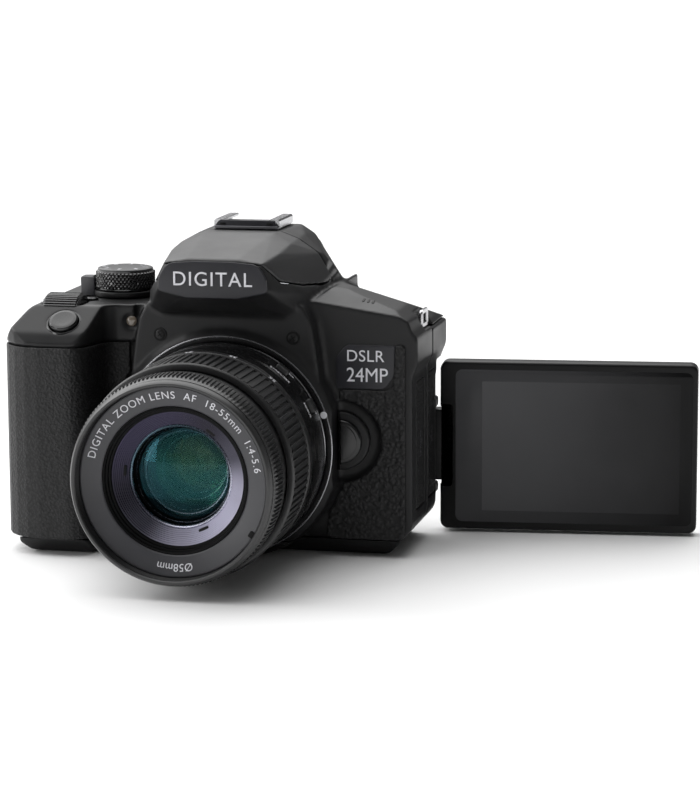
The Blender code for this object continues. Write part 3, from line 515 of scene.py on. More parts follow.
def toothed(name, count, bore, sections, shares, paint, body, place, axis, instead):
    """A ring with teeth. sections: (height, radius of the valleys, radius of the tops); shares: how a tooth's
    pitch is split into valley, rise, top and fall."""
    spin = axis_turn(axis)
    stops = [0.0]
    for share in shares:
        stops.append(stops[-1] + share / sum(shares))
    layers = []
    for height, valley, top in sections:
        levels = [valley, valley, top, top]
        ring = []
        for tooth in range(count):
            for stop, radius in zip(stops[:4], levels):
                angle = math.tau * (tooth + stop) / count
                ring.append(Vector((radius * math.cos(angle), radius * math.sin(angle), height)))
        layers.append(ring)
    for height in (sections[-1][0], sections[0][0]):
        layers.append(circle(bore, 4 * count, height))
    moved = [[spin @ point + Vector(place) for point in layer] for layer in layers]
    return add_object(name, mesh_from(name, *stack(moved, closed_loop=True)), paint, body, instead,
            sharp=30)


def cad_mesh(name, nodes):
    """The CAD solids of some nodes as one welded mesh."""
    form = bmesh.new()
    for node in nodes:
        form.from_mesh(frame["nodes"][node].data)
    bmesh.ops.remove_doubles(form, verts=form.verts, dist=1e-6)
    return mesh_of(form, name)


def baked(piece):
    """Applies a piece's modifiers to its mesh."""
    seen = piece.evaluated_get(bpy.context.evaluated_depsgraph_get())
    mesh = bpy.data.meshes.new_from_object(seen)
    piece.modifiers.clear()
    old = piece.data
    piece.data = mesh
    bpy.data.meshes.remove(old)


def closed_box(name, low, high):
    """A box to cut or fill with. cast removes such tools once it has used them."""
    points = [(x, y, z) for x in (low[0], high[0]) for y in (low[1], high[1]) for z in (low[2], high[2])]
    faces = [(0, 1, 3, 2), (4, 6, 7, 5), (0, 4, 5, 1), (2, 3, 7, 6), (0, 2, 6, 4), (1, 5, 7, 3)]
    return linked(name, mesh_from(name, points, faces))


def prism(name, shape, turn, centre, low, high):
    rings = [placed(shape, turn, centre, height) for height in (low, high)]
    return linked(name, mesh_from(name, *stack(rings)))


def round_tool(name, profile, place, axis):
    made = lathe(name, profile, "black", place, axis, steps=48, ease=0)
    made.parent = None
    return made


def hull_tool(name, points):
    form = bmesh.new()
    for point in points:
        form.verts.new(Vector(point) * MM)
    found = bmesh.ops.convex_hull(form, input=form.verts)
    loose = [item for item in found["geom_interior"] + found["geom_unused"]
            if isinstance(item, bmesh.types.BMVert)]
    bmesh.ops.delete(form, geom=loose, context="VERTS")
    return linked(name, mesh_of(form, name))


def cast(name, nodes, paint, voxel, passes, body="root", fill=(), carve=(), close=0.0):
    """CAD solids as one smooth moulding: fillers are added, cutters taken away, then every edge is softened.

    close: gaps narrower than twice this are filled."""
    piece = add_object(name, cad_mesh(name, nodes), paint, body, nodes, sharp=0)
    for item, operation in [(item, "UNION") for item in fill] + [(item, "DIFFERENCE") for item in carve]:
        change = piece.modifiers.new(item.name, "BOOLEAN")
        change.operation = operation
        change.object = item
        change.solver = "EXACT"
    for shift in (close, -close) if close else (0.0,):
        skin = piece.modifiers.new("skin", "REMESH")
        skin.mode = "VOXEL"
        skin.voxel_size = voxel * MM * 1.0
        skin.use_smooth_shade = True
        if shift:
            move = piece.modifiers.new("move", "DISPLACE")
            move.mid_level = 0.0
            move.strength = shift * MM
    soften = piece.modifiers.new("soften", "SMOOTH")
    soften.factor = 0.5
    soften.iterations = passes
    baked(piece)
    for item in list(fill) + list(carve):
        bpy.data.objects.remove(item)


# ---- lettering ----
def letters(name, text, height, depth, spacing=1.0):
    """Flat lettering centred on the origin, as a mesh in millimetres."""
    curve = bpy.data.curves.new(name, "FONT")
    curve.body = text
    curve.size = height / 0.73
    curve.extrude = depth / 2
    curve.space_character = spacing
    curve.align_x = "CENTER"
    curve.align_y = "CENTER"
    curve.resolution_u = 6
    holder = linked(name, curve)
    mesh = bpy.data.meshes.new_from_object(holder.evaluated_get(bpy.context.evaluated_depsgraph_get()))
    bpy.data.objects.remove(holder)
    form = bmesh.new()
    form.from_mesh(mesh)
    bmesh.ops.remove_doubles(form, verts=form.verts, dist=1e-4)
    long = [edge for edge in form.edges if edge.calc_length() > 1.2]
    bmesh.ops.subdivide_edges(form, edges=long, cuts=2)
    bmesh.ops.triangulate(form, faces=form.faces)
    form.to_mesh(mesh)
    form.free()
    return mesh


def flat_words(name, text, height, turn, centre, paint="white", body="root", depth=0.12, spacing=1.0,
        widen=1.0):
    mesh = letters(name, text, height, depth, spacing)
    for vert in mesh.vertices:
        local = Vector((vert.co.x * widen, vert.co.y, vert.co.z))
        vert.co = (turn @ local + Vector(centre)) * MM
    return add_object(name, mesh, paint, body)


def ring_words(name, text, height, radius, distance, angle, body, spacing, slope):
    """Words round a face that looks along -Y, reading clockwise, their middle at angle from the top.

    slope: how much further forward the face lies for each millimetre of radius."""
    mesh = letters(name, text, height, 0.1, spacing)
    for vert in mesh.vertices:
        turn = math.radians(angle) + vert.co.x / radius
        reach = radius + vert.co.y
        vert.co = Vector((reach * math.sin(turn), FLANGE_Y - distance - vert.co.y * slope - vert.co.z,
                AXIS_Z + reach * math.cos(turn))) * MM
    return add_object(name, mesh, "white", body)


def barrel_words(name, text, height, radius, distance, angle, body="root", upright=True):
    """Words on a barrel about the lens axis. upright: letter tops point to the body."""
    mesh = letters(name, text, height, 0.1)
    sign = 1 if upright else -1
    for vert in mesh.vertices:
        turn = math.radians(angle) + sign * vert.co.x / radius
        reach = radius + vert.co.z
        vert.co = Vector((reach * math.sin(turn), FLANGE_Y - distance + sign * vert.co.y,
                AXIS_Z + reach * math.cos(turn))) * MM
    return add_object(name, mesh, "white", body)


# ---- body mouldings ----
def shoulder_height(x, y):
    """The plane of the right shoulder, which falls to the right and to the front."""
    edge_x, edge_y, edge_z = SHOULDER_EDGE
    return edge_z - SHOULDER_FALL[0] * (x - edge_x) + SHOULDER_FALL[1] * (y - edge_y)


def make_shells():
    lamp_room = round_tool("lamp_room", [(0, 0), (0, 4), (3.6, 4), (2.9, 1.2), (2.0, 0)], LAMP_SEAT,
            FORWARD)
    rises, right_end = (0, 25), 64
    slope = hull_tool("shoulder_slope", [(x, y, shoulder_height(x, y) + rise) for rise in rises
            for x in (26.5, right_end) for y in (-27, 9)])
    line = [(SHOULDER_LINE[0][0], CUT_TOP), *SHOULDER_LINE, (SHOULDER_LINE[-1][0], CUT_TOP)]
    side_line = prism("shoulder_line", [Vector(point) for point in line], FRONT, (0, 0, 0), -28, 30)
    start, height, right_fall, back_fall = SHOULDER_BACK
    fall = hull_tool("shoulder_fall", [(x, y, height - right_fall * (x - start) - back_fall * y + rise)
            for rise in rises for x in (SHOULDER_LINE[0][0], right_end) for y in (-2, 30)])
    packing = closed_box("shoulder_packing", (28, -20, 68), (50, 19, 76.5))
    cast("front_and_top_shell", ["front_cover", "top_cover"], "shell", 0.5, 6, fill=[packing],
            carve=[lamp_room, slope, side_line, fall], close=0.45)
    cast("rear_shell", ["rear_cover"], "shell", 0.6, 8)
    cast("base_shell", ["bottom_cover"], "base", 0.6, 6)
    cast("flash_roof", ["flash_lid"], "lid", 0.4, 8, "flash")
    cast("grip_rubber", ["grip_skin"], "grip", 0.33, 8)
    cast("side_leather", ["side_skin"], "skin", 0.3, 3)
    cast("thumb_leather", ["thumb_rest"], "skin", 0.4, 4)
    cast("eyecup_rubber", ["eyecup"], "eyecup", 0.45, 10)


# ---- lens ----
def make_rear_barrel():
    profile = [(21.0, -4.4), (25.0, -4.4), (25.0, 0.3), (31.9, 0.3), (32.4, 1.6), (33.2, 3.2), (33.2, 13.0),
            (32.9, 14.0), (32.9, 19.2), (32.6, 19.6), (29.2, 19.6), (29.2, 2.0), (21.0, 2.0)]
    lens_ring("rear_barrel_shell", profile, "gloss", instead=["rear_barrel"])


def make_zoom_ring():
    ribs = [(20.2, 31.9, 31.9), (23.0, 32.2, 32.2), (23.6, 32.3, 32.4), (24.0, 32.35, 33.0),
            (41.4, 32.35, 33.0), (41.8, 32.3, 32.4), (42.4, 32.2, 32.2)]
    toothed("zoom_rubber", 92, 31.2, ribs, (0.34, 0.08, 0.50, 0.08), "rubber", "zoom_ring", LENS_SEAT,
            FORWARD, instead=["zoom_ring"])
    profile = [(30.9, 42.2), (33.0, 42.2), (33.1, 42.6), (32.6, 43.0), (30.9, 43.0)]
    lens_ring("zoom_front_band", profile, "ring", "zoom_ring", ease=0.1)
    profile = [(30.9, 19.9), (32.7, 19.9), (33.2, 20.4), (33.2, 23.2), (32.6, 23.5), (30.9, 23.5)]
    lens_ring("zoom_rear_band", profile, "ring", "zoom_ring", ease=0.15)
    for text, angle in ZOOM_MARKS:
        barrel_words("zoom_mark_" + text, text, 1.9, BARREL_RADIUS, 21.8, angle, body="zoom_ring",
                upright=False)


def make_focus_ring():
    teeth = [(46.0, 30.9, 30.9), (46.4, 31.1, 31.1), (49.4, 31.2, 31.2), (49.8, 31.2, 31.3),
            (50.2, 31.1, 31.65), (56.8, 31.0, 31.55), (57.2, 31.1, 31.2), (58.6, 30.9, 30.9),
            (59.0, 30.7, 30.7)]
    toothed("focus_teeth", 150, 30.4, teeth, (0.42, 0.10, 0.38, 0.10), "ring", "focus_ring", LENS_SEAT,
            FORWARD, instead=["focus_ring"])


def make_inner_barrel():
    profile = [(28.4, 21.0), (30.5, 21.0), (30.5, 45.4), (30.0, 45.4), (30.0, 59.4), (30.7, 59.6),
            (30.75, 60.2), (30.3, 61.2), (29.9, 61.8), (29.25, 61.8), (28.9, 61.4), (29.2, 57.2),
            (28.4, 56.0)]
    lens_ring("inner_barrel_shell", profile, "ring", "lens_barrel", instead=["inner_barrel"], ease=0.12)
    thread = [(29.4, 57.4)]
    for step in range(5):
        low = 57.7 + step * 0.72
        thread += [(28.85, low), (29.15, low + 0.36)]
    thread += [(28.85, 61.3), (29.4, 61.4)]
    lens_ring("filter_thread", thread, "black", "lens_barrel", ease=0)


def make_name_ring():
    profile = [(22.3, 55.9), (22.7, 56.2), (28.1, 57.7), (28.6, 57.7), (28.75, 57.4), (28.75, 56.0),
            (22.3, 54.6)]
    lens_ring("name_plate", profile, "name", "lens_barrel", instead=["name_ring"], ease=0.12)
    profile = [(22.45, 55.6), (22.0, 55.9), (21.6, 55.5), (21.5, 54.7), (21.0, 54.6), (20.8, 53.8),
            (20.3, 53.7), (20.1, 52.9), (20.1, 52.0), (22.45, 52.0)]
    lens_ring("dark_steps", profile, "inner", "lens_barrel", ease=0.08)
    rings = [(20.2, 53.0)]
    for step in range(9):
        outer, front = 19.9 - step * 0.47, 52.9 - step * 0.42
        rings += [(outer, front), (outer - 0.28, front - 0.05), (outer - 0.36, front - 0.36)]
    profile = rings + [(15.5, 49.2), (15.5, 46.5), (20.2, 46.5)]
    lens_ring("baffle_steps", profile, "baffle", "lens_barrel", ease=0.05)
    profile = [(15.75, 49.3), (15.35, 49.5), (15.0, 49.2), (14.9, 48.2), (15.9, 47.0), (16.0, 48.8)]
    lens_ring("glass_retainer", profile, "retainer", "lens_barrel", ease=0.06)
    for degrees in (35, 155, 275):
        make_notch("spanner_notch_%d" % degrees, degrees, 17.3, 50.4, 1.6, 0.9)
    make_notch("rim_notch", 122, 28.0, 57.7, 1.0, 1.0)
    ring_words("ring_words_top", "DIGITAL ZOOM LENS  AF  18-55mm  1:4-5.6", angle=3, spacing=1.16,
            **NAME_WORDS)
    ring_words("ring_words_size", "\u00d858mm", angle=180, spacing=1.05, **NAME_WORDS)


def make_notch(name, degrees, radius, distance, wide, deep):
    angle = math.radians(degrees)
    side = Vector((math.sin(angle), 0, math.cos(angle)))
    centre = Vector((0, FLANGE_Y - distance, AXIS_Z)) + side * radius
    turn = Matrix((side.cross(Vector(FORWARD)), side, Vector(FORWARD))).transposed()
    shape = centred(wide, deep, 0.4)
    # the notch is a dark pad of painted shade
    pad(name, shape, turn, centre, -0.8, 0.25, "recess", "lens_barrel", 0.1)


def dome(name, radius, rim, rise, thick, paint, body, instead=()):
    """A lens element: a shallow dome before a flatter back, about the lens axis."""
    profile = [(0.0, rim - thick), (radius, rim - thick), (radius, rim)]
    steps = 20
    for step in range(1, steps + 1):
        share = 1 - step / steps
        profile.append((radius * share, rim + rise * (1 - share * share)))
    return lens_ring(name, profile, paint, body, instead=instead, ease=0, sharp=50, steps=96)


def make_glass():
    dome("front_glass", 14.95, 46.3, 2.9, 2.2, "glass", "lens_barrel", ["front_element"])
    dome("second_glass", 11.2, 40.0, 2.4, 1.4, "glass_green", "lens_barrel")
    dome("third_glass", 6.6, 33.6, 1.6, 1.2, "glass_amber", "lens_barrel")
    bore = [(15.3, 45.8), (14.6, 45.6), (13.6, 44.2), (13.4, 43.0), (12.4, 42.6), (12.2, 41.2),
            (11.6, 40.9), (11.3, 38.4), (10.2, 38.0), (10.0, 36.6), (8.8, 36.2), (8.6, 35.0), (7.4, 34.8),
            (7.0, 32.4), (5.6, 32.0), (5.4, 30.2), (4.2, 29.9), (4.0, 27.6), (2.9, 27.2), (2.7, 24.6),
            (0.0, 24.4), (0.0, 22.6), (15.3, 22.6)]
    lens_ring("inner_bore", bore, "inner", "lens_barrel", ease=0, steps=96)
    # the element edges wear the retainer's painted light and shade
    for index, (radius, distance, thick) in enumerate(ELEMENT_EDGES):
        edge = [(radius + point.x, distance + point.y) for point in circle(thick, 8)]
        lens_ring("element_edge_%d" % index, edge, "retainer", "lens_barrel", ease=0, steps=96, sharp=180)


def make_switches():
    for node, label, note in (("stabiliser_switch", "STABILIZER", "ON  OFF"),
            ("focus_mode_switch", "FOCUS", "AF  MF")):
        centre = box_mm(node)[2]
        outward = Vector((centre.x, 0, centre.z - AXIS_Z)).normalized()
        across = Vector(FORWARD).cross(outward)
        turn = Matrix((across, Vector(FORWARD), outward)).transposed()
        reach = BARREL_RADIUS - 0.05
        seat = Vector((outward.x * reach, centre.y, AXIS_Z + outward.z * reach))
        frame_shape = rectangle(-2.9, 4.9, -2.2, 2.2, 0.6)
        # the switch's tray is a dark pad of painted shade
        pad(node + "_tray", frame_shape, turn, seat, -0.6, 0.16, "recess", edge=0.12)
        knob = centred(2.2, 1.5, 0.5)
        pad(node + "_knob", knob, turn, seat, 0.16, 1.5, "ring", node, 0.35, instead=[node])
        for index in range(4):
            start = -1.5 + index * 0.9
            bar = rectangle(start, start + 0.35, -1.15, 1.15, 0.1, 2)
            pad("%s_rib_%d" % (node, index), bar, turn, seat, 1.4, 1.75, "ring", node, 0.1, 2)
        angle = math.degrees(math.atan2(outward.x, outward.z))
        barrel_words(node + "_label", label, 1.15, BARREL_RADIUS + 0.02, 12.0, angle + 1)
        barrel_words(node + "_note", note, 1.05, BARREL_RADIUS + 0.02, 5.2, angle + 2)


# ---- mount ----
def make_mount():
    profile = [(24.0, -1.8), (32.55, -1.8), (32.55, -0.15), (32.3, 0.0), (24.3, 0.0), (24.0, -0.3)]
    lens_ring("mount_seat", profile, "steel", instead=["lens_mount_ring"], ease=0.1)
    profile = [(34.2, -0.5), (34.75, -0.5), (34.85, 0.0), (34.6, 0.14), (34.3, 0.1)]
    lens_ring("mount_silver_line", profile, "silver", ease=0.06)
    angle = math.atan2(*INDEX_TURN)
    spot = (INDEX_RADIUS * math.sin(angle), FLANGE_Y - 0.1, AXIS_Z + INDEX_RADIUS * math.cos(angle))
    pad("mount_index", oval(1.1, 24), FRONT, spot, 0, 0.2, "white", edge=0.1)


def half_disc(radius, flat=0.0):
    """A D shape: an arc about the origin, closed by an upright edge at flat."""
    steps = 40
    reach = math.acos(flat / radius)
    turns = [reach * (2 * step / steps - 1) for step in range(steps + 1)]
    return [Vector((radius * math.cos(turn), radius * math.sin(turn))) for turn in turns]


def make_release():
    low, high, middle = box_mm("lens_release_button")
    centre = (low.x, low.y, middle.z)
    radius = (high.z - low.z) / 2
    pad("release_button", half_disc(radius), FRONT, centre, low.y - high.y, -0.1, "button", "lens_release",
            0.7, 5, ["lens_release_button"])
    pad("release_button_face", half_disc(radius - 1.3, 0.9), FRONT, centre, -0.6, 0.12, "button",
            "lens_release", 0.25, 4)
    pad("release_collar", half_disc(radius + 2.3, -0.9), FRONT, centre, -5.0, -2.2, "shell", edge=0.9,
            steps=5)


# ---- hump, panel and hot shoe ----
def make_panel():
    pad("name_panel", outline(NAME_PANEL), FRONT, (0, BEAK_Y, 0), -0.2, 0.35, "panel", edge=0.25, steps=4)
    flat_words("name_word", "DIGITAL", 4.5, FRONT, (0, BEAK_Y - 0.4, 88.7), "letter", depth=0.5,
            spacing=1.12)


def make_hot_shoe():
    low, high, middle = box_mm("hot_shoe")
    floor = centred(10.6, (high.y - low.y) / 2, 0.5)
    pad("shoe_floor", floor, TOP, (0, middle.y, 0), low.z, low.z + 0.8, "dark_steel", edge=0.2,
            instead=["hot_shoe"])
    for side in (-1, 1):
        lip = [(10.7, low.z), (10.7, high.z - 0.5), (10.2, high.z), (7.5, high.z), (7.4, high.z - 0.15),
                (7.4, high.z - 0.75), (7.5, high.z - 0.85), (9.3, high.z - 0.85), (9.6, high.z - 1.1),
                (9.6, low.z)]
        rings = [[(side * x, y, z) for x, z in lip]
                for y in (low.y + 1.6, low.y + 2.1, high.y - 0.4, high.y)]
        name = "shoe_rail_" + ("right" if side > 0 else "left")
        add_object(name, mesh_from(name, *stack(rings)), "steel")
    guard = outline([(-10.7, 0, 0.3), (10.7, 0, 0.3), (8.9, 2.55, 1.2), (-8.9, 2.55, 1.2)])
    slope = Matrix.Rotation(math.radians(-10), 3, "X") @ FRONT
    pad("shoe_guard", guard, slope, (0, low.y + 1.0, low.z), -0.3, 0.7, "panel", edge=0.25)
    for x in (-7.6, 7.6):
        slot = centred(0.9, 0.3, 0.25)
        # the slots are dark pads of painted shade
        pad("shoe_guard_slot_%d" % x, slot, slope, (x, low.y + 0.85, low.z + 1.4), 0.2, 0.65, "recess",
                edge=0.05)
    for x, y, radius in SHOE_CONTACTS:
        pad("shoe_contact_%d_%d" % (x * 10, y * 10), oval(radius, 32), TOP, (x, middle.y + y, 0),
                low.z + 0.7, low.z + 0.95, "steel", edge=0.12)


def make_flash_window():
    low, high, middle = box_mm("flash_head")
    size = (high - low) / 2
    window = centred(size.x, size.z, 0.8)
    pad("flash_window", window, FRONT, (0, middle.y, middle.z), -size.y, size.y, "clear", "flash", 0.4,
            instead=["flash_head"])


# ---- dials and buttons on top ----
def knurled(name, radius, low, high, count, rows, depth, paint, body, place, axis, instead=()):
    """A drum whose side is cut by crossing grooves into small diamonds."""
    spin = axis_turn(axis)
    per_turn = count * 4
    levels = rows * 4
    edge = 0.5
    layers = [circle(0.01, per_turn, low)]
    heights = [low, low + edge * 0.3, low + edge]
    heights += [low + edge + (high - low - 2 * edge) * level / levels for level in range(1, levels)]
    heights += [high - edge, high - edge * 0.3, high]
    for index, height in enumerate(heights):
        flat = index < 3 or index >= len(heights) - 3
        shrink = 0.5 if index in (0, len(heights) - 1) else 0.15 if flat else 0
        ring = []
        for step in range(per_turn):
            angle = math.tau * step / per_turn
            reach = radius - shrink - depth * 0.5
            if not flat:
                rise = (height - low) / (high - low) * rows * math.pi
                wave = abs(math.sin(angle * count / 2 + rise)) + abs(math.sin(angle * count / 2 - rise))
                reach += depth * (min(wave, 1.3) / 1.3 - 0.5)
            ring.append(Vector((reach * math.cos(angle), reach * math.sin(angle), height)))
        layers.append(ring)
    layers.append(circle(0.01, per_turn, high))
    moved = [[spin @ point + Vector(place) for point in layer] for layer in layers]
    return add_object(name, mesh_from(name, *stack(moved)), paint, body, instead, sharp=24)


def make_mode_dial():
    low, high, middle = box_mm("mode_dial")
    centre = (middle.x, middle.y, 0)
    radius = (high.x - low.x) / 2
    knurled("mode_dial_rim", radius, low.z, high.z - 0.5, 46, 4, 0.85, "dial", "mode_dial", centre, UP,
            ["mode_dial"])
    profile = [(0, high.z - 1.0), (radius - 0.7, high.z - 1.0), (radius - 0.7, high.z - 0.2),
            (radius - 1.4, high.z + 0.05), (0, high.z + 0.05)]
    lathe("mode_dial_top", profile, "dial_top", centre, UP, "mode_dial", ease=0.1)
    reach = radius - 3.0
    for index, mark in enumerate("MASP1234"):
        angle = math.pi + index * math.tau / 8
        turn = Matrix.Rotation(angle + math.pi * 1.5, 3, "Z")
        spot = (middle.x + reach * math.cos(angle), middle.y + reach * math.sin(angle), high.z + 0.06)
        flat_words("mode_mark_%d" % index, mark, 2.1, turn, spot, body="mode_dial", depth=0.08)


def make_power_lever():
    low, high, _ = box_mm("power_lever")
    dial = box_mm("mode_dial")[2]
    radius = dial.x - box_mm("mode_dial")[0].x + 0.6
    profile = [(3.0, low.z), (radius, low.z), (radius, high.z), (3.0, high.z)]
    lathe("power_lever_ring", profile, "black", (dial.x, dial.y, 0), UP, "power_lever",
            instead=["power_lever"], ease=0.3)
    tab = outline([(dial.x - 14.2, dial.y - 3.4, 1.2), (dial.x - 9.0, dial.y - 4.2, 0.4),
            (dial.x - 9.6, dial.y + 2.0, 0.4), (dial.x - 14.2, dial.y + 1.4, 1.2)])
    pad("power_lever_tab", tab, TOP, (0, 0, 0), low.z, high.z + 4.2, "panel", "power_lever", 0.8, 5)


def make_main_dial():
    low, high, middle = box_mm("main_dial")
    middle.z += 0.6
    radius = (high.z - low.z) / 2 + 1.6
    width = high.x - low.x
    sections = [(-width / 2, radius - 0.9, radius - 0.9), (-width / 2 + 0.5, radius - 0.45, radius - 0.35),
            (-width / 2 + 1.0, radius - 0.5, radius), (width / 2 - 1.0, radius - 0.5, radius),
            (width / 2 - 0.5, radius - 0.45, radius - 0.35), (width / 2, radius - 0.9, radius - 0.9)]
    toothed("main_dial_rim", 52, 1.0, sections, (0.40, 0.12, 0.36, 0.12), "dial", "main_dial", middle,
            ALONG_X, ["main_dial"])


def make_shutter_button():
    lean = Vector((0, -0.56, 0.83)).normalized()
    seat = box_mm("shutter_button")[2] + lean * 0.7
    profile = [(0, -3.6), (4.5, -3.6), (4.55, 0.3), (4.2, 0.85), (3.4, 1.0), (1.8, 0.86), (0, 0.8)]
    lathe("shutter_button_cap", profile, "button", seat, lean, "shutter_button", instead=["shutter_button"],
            ease=0.25)
    profile = [(4.75, -2.6), (5.7, -2.6), (5.75, -0.6), (5.35, -0.15), (4.85, -0.3)]
    lathe("shutter_collar", profile, "button", seat, lean, ease=0.15)


def button_cap(node, radius, shoulder, chamfer, crown, axis, ease=0.15, steps=64):
    """A round button as deep as its CAD node's box; its shoulder lies below the top, its crown above."""
    low, high, seat = box_mm(node)
    line = axis.index(1)
    seat[line] = 0
    base, top = low[line], high[line]
    profile = [(0, base), (radius, base), (radius, top - shoulder), (radius - chamfer, top),
            (0, top + crown)]
    lathe(node + "_cap", profile, "button", seat, axis, node, steps, [node], ease)


# ---- front details ----
def make_screw(name, centre, turn, radius=1.6):
    """A countersunk cross-head screw."""
    head = [(0, -1.0), (radius, -1.0), (radius, -0.1), (radius * 0.86, 0.12), (0, 0.28)]
    lathe(name, head, "black", centre, turn @ Vector(UP), ease=0.1, steps=48)
    reach, half = radius * 0.62, 0.17
    for index, degrees in enumerate((35, 125)):
        swing = Matrix.Rotation(math.radians(degrees), 2)
        corners = ((-reach, -half), (reach, -half), (reach, half), (-reach, half))
        bar = [swing @ Vector(point) for point in corners]
        # the cross slots are dark bars of painted shade
        pad("%s_slot_%d" % (name, index), bar, turn, centre, 0.0, 0.31, "recess", edge=0.04, steps=1)


def make_front_details():
    profile = [(0, -1.0), (1.7, -1.0), (1.7, 0.1), (1.2, 0.5), (0, 0.75)]
    lathe("af_lamp", profile, "lamp", LAMP_SEAT, FORWARD, ease=0.2, steps=64)
    for side, x in SCREW_X.items():
        spot = (x, FLANGE_Y + SCREW_DEPTH, SCREW_Z)
        profile = [(0, -1), (2.1, -1), (2.1, 0.02), (0, 0.02)]
        # the screw's seat is a dark disc of painted shade
        lathe("neck_screw_seat_" + side, profile, "recess", spot, FORWARD, ease=0, steps=48)
        make_screw("neck_screw_" + side, spot, FRONT)
    for index, x in enumerate(MICROPHONE_X):
        slot = centred(0.4, 1.4, 0.35, 3)
        lean = Matrix.Rotation(math.radians(12.6), 3, "X")
        spot = (x, MICROPHONE_Y, shoulder_height(x, MICROPHONE_Y))
        # the microphone holes are dark pads of painted shade
        pad("microphone_slot_%d" % index, slot, lean, spot, -0.4, 0.1, "recess", edge=0.05)
    front = box_mm("side_skin")[0].y
    pad("badge_plate", outline(BADGE), FRONT, (0, front + 0.9, 0), -0.5, 0.3, "panel", edge=0.2)
    flat_words("badge_word", "DSLR", 3.7, FRONT, (43.6, front + 0.55, 63.4), "white", depth=0.15,
            spacing=1.06)
    flat_words("badge_line", "24MP", 4.6, FRONT, (44.2, front + 0.55, 57.4), "white", depth=0.15,
            widen=0.92)


def make_lugs():
    for node, turn in (("strap_lug_right", RIGHT), ("strap_lug_left", LEFT)):
        low, high, middle = box_mm(node)
        wide, tall = (high.y - low.y) / 2, (high.z - low.z) / 2
        outer = centred(wide, tall, 1.2)
        inner = grown(outer, -1.1)
        rings = []
        for shape, height in ((outer, -0.5), (grown(outer, 0.15), 0.0), (outer, 0.5), (inner, 0.5),
                (grown(inner, -0.15), 0.0), (inner, -0.5)):
            rings.append(placed(shape, turn, middle, height))
        add_object(node + "_loop", mesh_from(node, *stack(rings, closed_loop=True)), "steel",
                instead=[node])


# ---- doors and base ----
def door(name, node, body, turn, paint, radius=1.5, edge=0.4, steps=4):
    """A flat door that fills its CAD node's box and looks out along the turned local z."""
    low, high, middle = box_mm(node)
    wide, tall, thick = (abs(length) for length in turn.transposed() @ (high - low))
    inner_face = middle - turn @ Vector((0, 0, thick / 2))
    shape = centred(wide / 2, tall / 2, radius)
    pad(name, shape, turn, inner_face, 0, thick, paint, body, edge, steps, [node])


def make_doors():
    for word, start in (("REMOTE", "remote"), ("HDMI", "hdmi")):
        node, body = start + "_terminal_cover", start + "_cover"
        door(node + "_flap", node, body, RIGHT, "grip", edge=0.5)
        _, high, middle = box_mm(node)
        turn = RIGHT @ Matrix.Rotation(math.radians(90), 3, "Z")
        flat_words(node + "_word", word, 1.6, turn, (high.x + 0.03, middle.y, middle.z), "name", body, 0.08)
    door("card_door_panel", "card_door", "card_door", LEFT, "shell")
    door("battery_door_panel", "battery_door", "battery_door", UNDER, "base", radius=2, edge=0.3, steps=3)
    profile = [(3.0, 0.5), (5.5, 0.5), (5.5, 4.5), (3.0, 4.5)]
    lathe("tripod_bush", profile, "steel", (0, 10.5, 0), UP, instead=["tripod_socket"], ease=0.25)
    for index, (x, y) in enumerate(BASE_SCREWS):
        make_screw("base_screw_%d" % index, (x, y, 0.1), UNDER, 1.5)


# ---- back ----
def make_back():
    for start, word, rise in BACK_BUTTONS:
        node = start + "_button"
        low, high, middle = box_mm(node)
        button_cap(node, (high.x - low.x) / 2, 0.3, 0.5, 0.12, BACKWARD)
        flat_words(node + "_word", word, 1.3, BACK, (middle.x, BACK_Y + 0.03, middle.z + rise), depth=0.1)
    low, high, middle = box_mm("quick_dial")
    radius = (high.x - low.x) / 2
    hub = (middle.x, 0, middle.z)
    sections = [(low.y, radius - 0.4, radius - 0.4), (low.y + 0.5, radius - 0.3, radius),
            (high.y - 0.7, radius - 0.4, radius), (high.y - 0.1, radius - 1.0, radius - 0.7),
            (high.y, radius - 1.8, radius - 1.8)]
    toothed("quick_dial_ring", 72, 9.3, sections, (0.35, 0.15, 0.35, 0.15), "ring", "quick_dial", hub,
            BACKWARD, ["quick_dial"])
    low, high, _ = box_mm("cross_keys")
    plate = [(4.3, low.y), (8.7, low.y), (8.7, high.y - 0.5), (7.6, high.y), (5.4, high.y - 0.25),
            (4.3, high.y - 0.5)]
    lathe("cross_key_plate", plate, "button", hub, BACKWARD, "cross_keys", instead=["cross_keys"], ease=0.2)
    reach = 7.0
    for index in range(4):
        angle = math.radians(index * 90)
        spot = (middle.x + reach * math.sin(angle), high.y, middle.z + reach * math.cos(angle))
        swing = Matrix.Rotation(angle if index % 2 == 0 else angle + math.pi, 2)
        arrow = [swing @ Vector(point) for point in ((-0.7, -0.4), (0.7, -0.4), (0, 0.6))]
        pad("cross_key_arrow_%d" % index, arrow, BACK, spot, -0.25, 0.05, "white", "cross_keys", 0.03, 1)
    button_cap("set_button", 3.8, 0.4, 0.6, 0.15, BACKWARD, ease=0.2, steps=96)
    top = box_mm("set_button")[1].y + 0.14
    flat_words("set_button_word", "SET", 1.7, BACK, (middle.x, top, middle.z), body="set_button", depth=0.1)
    low, high, middle = box_mm("dioptric_knob")
    sections = [(low.y, 3.0, 3.0), (low.y + 0.3, 2.9, 3.2), (high.y - 0.5, 2.9, 3.2),
            (high.y - 0.1, 2.6, 2.8), (high.y, 2.3, 2.3)]
    toothed("dioptric_knob_rim", 30, 0.2, sections, (0.4, 0.15, 0.3, 0.15), "ring", "dioptric_knob",
            (middle.x, 0, middle.z), BACKWARD, ["dioptric_knob"])


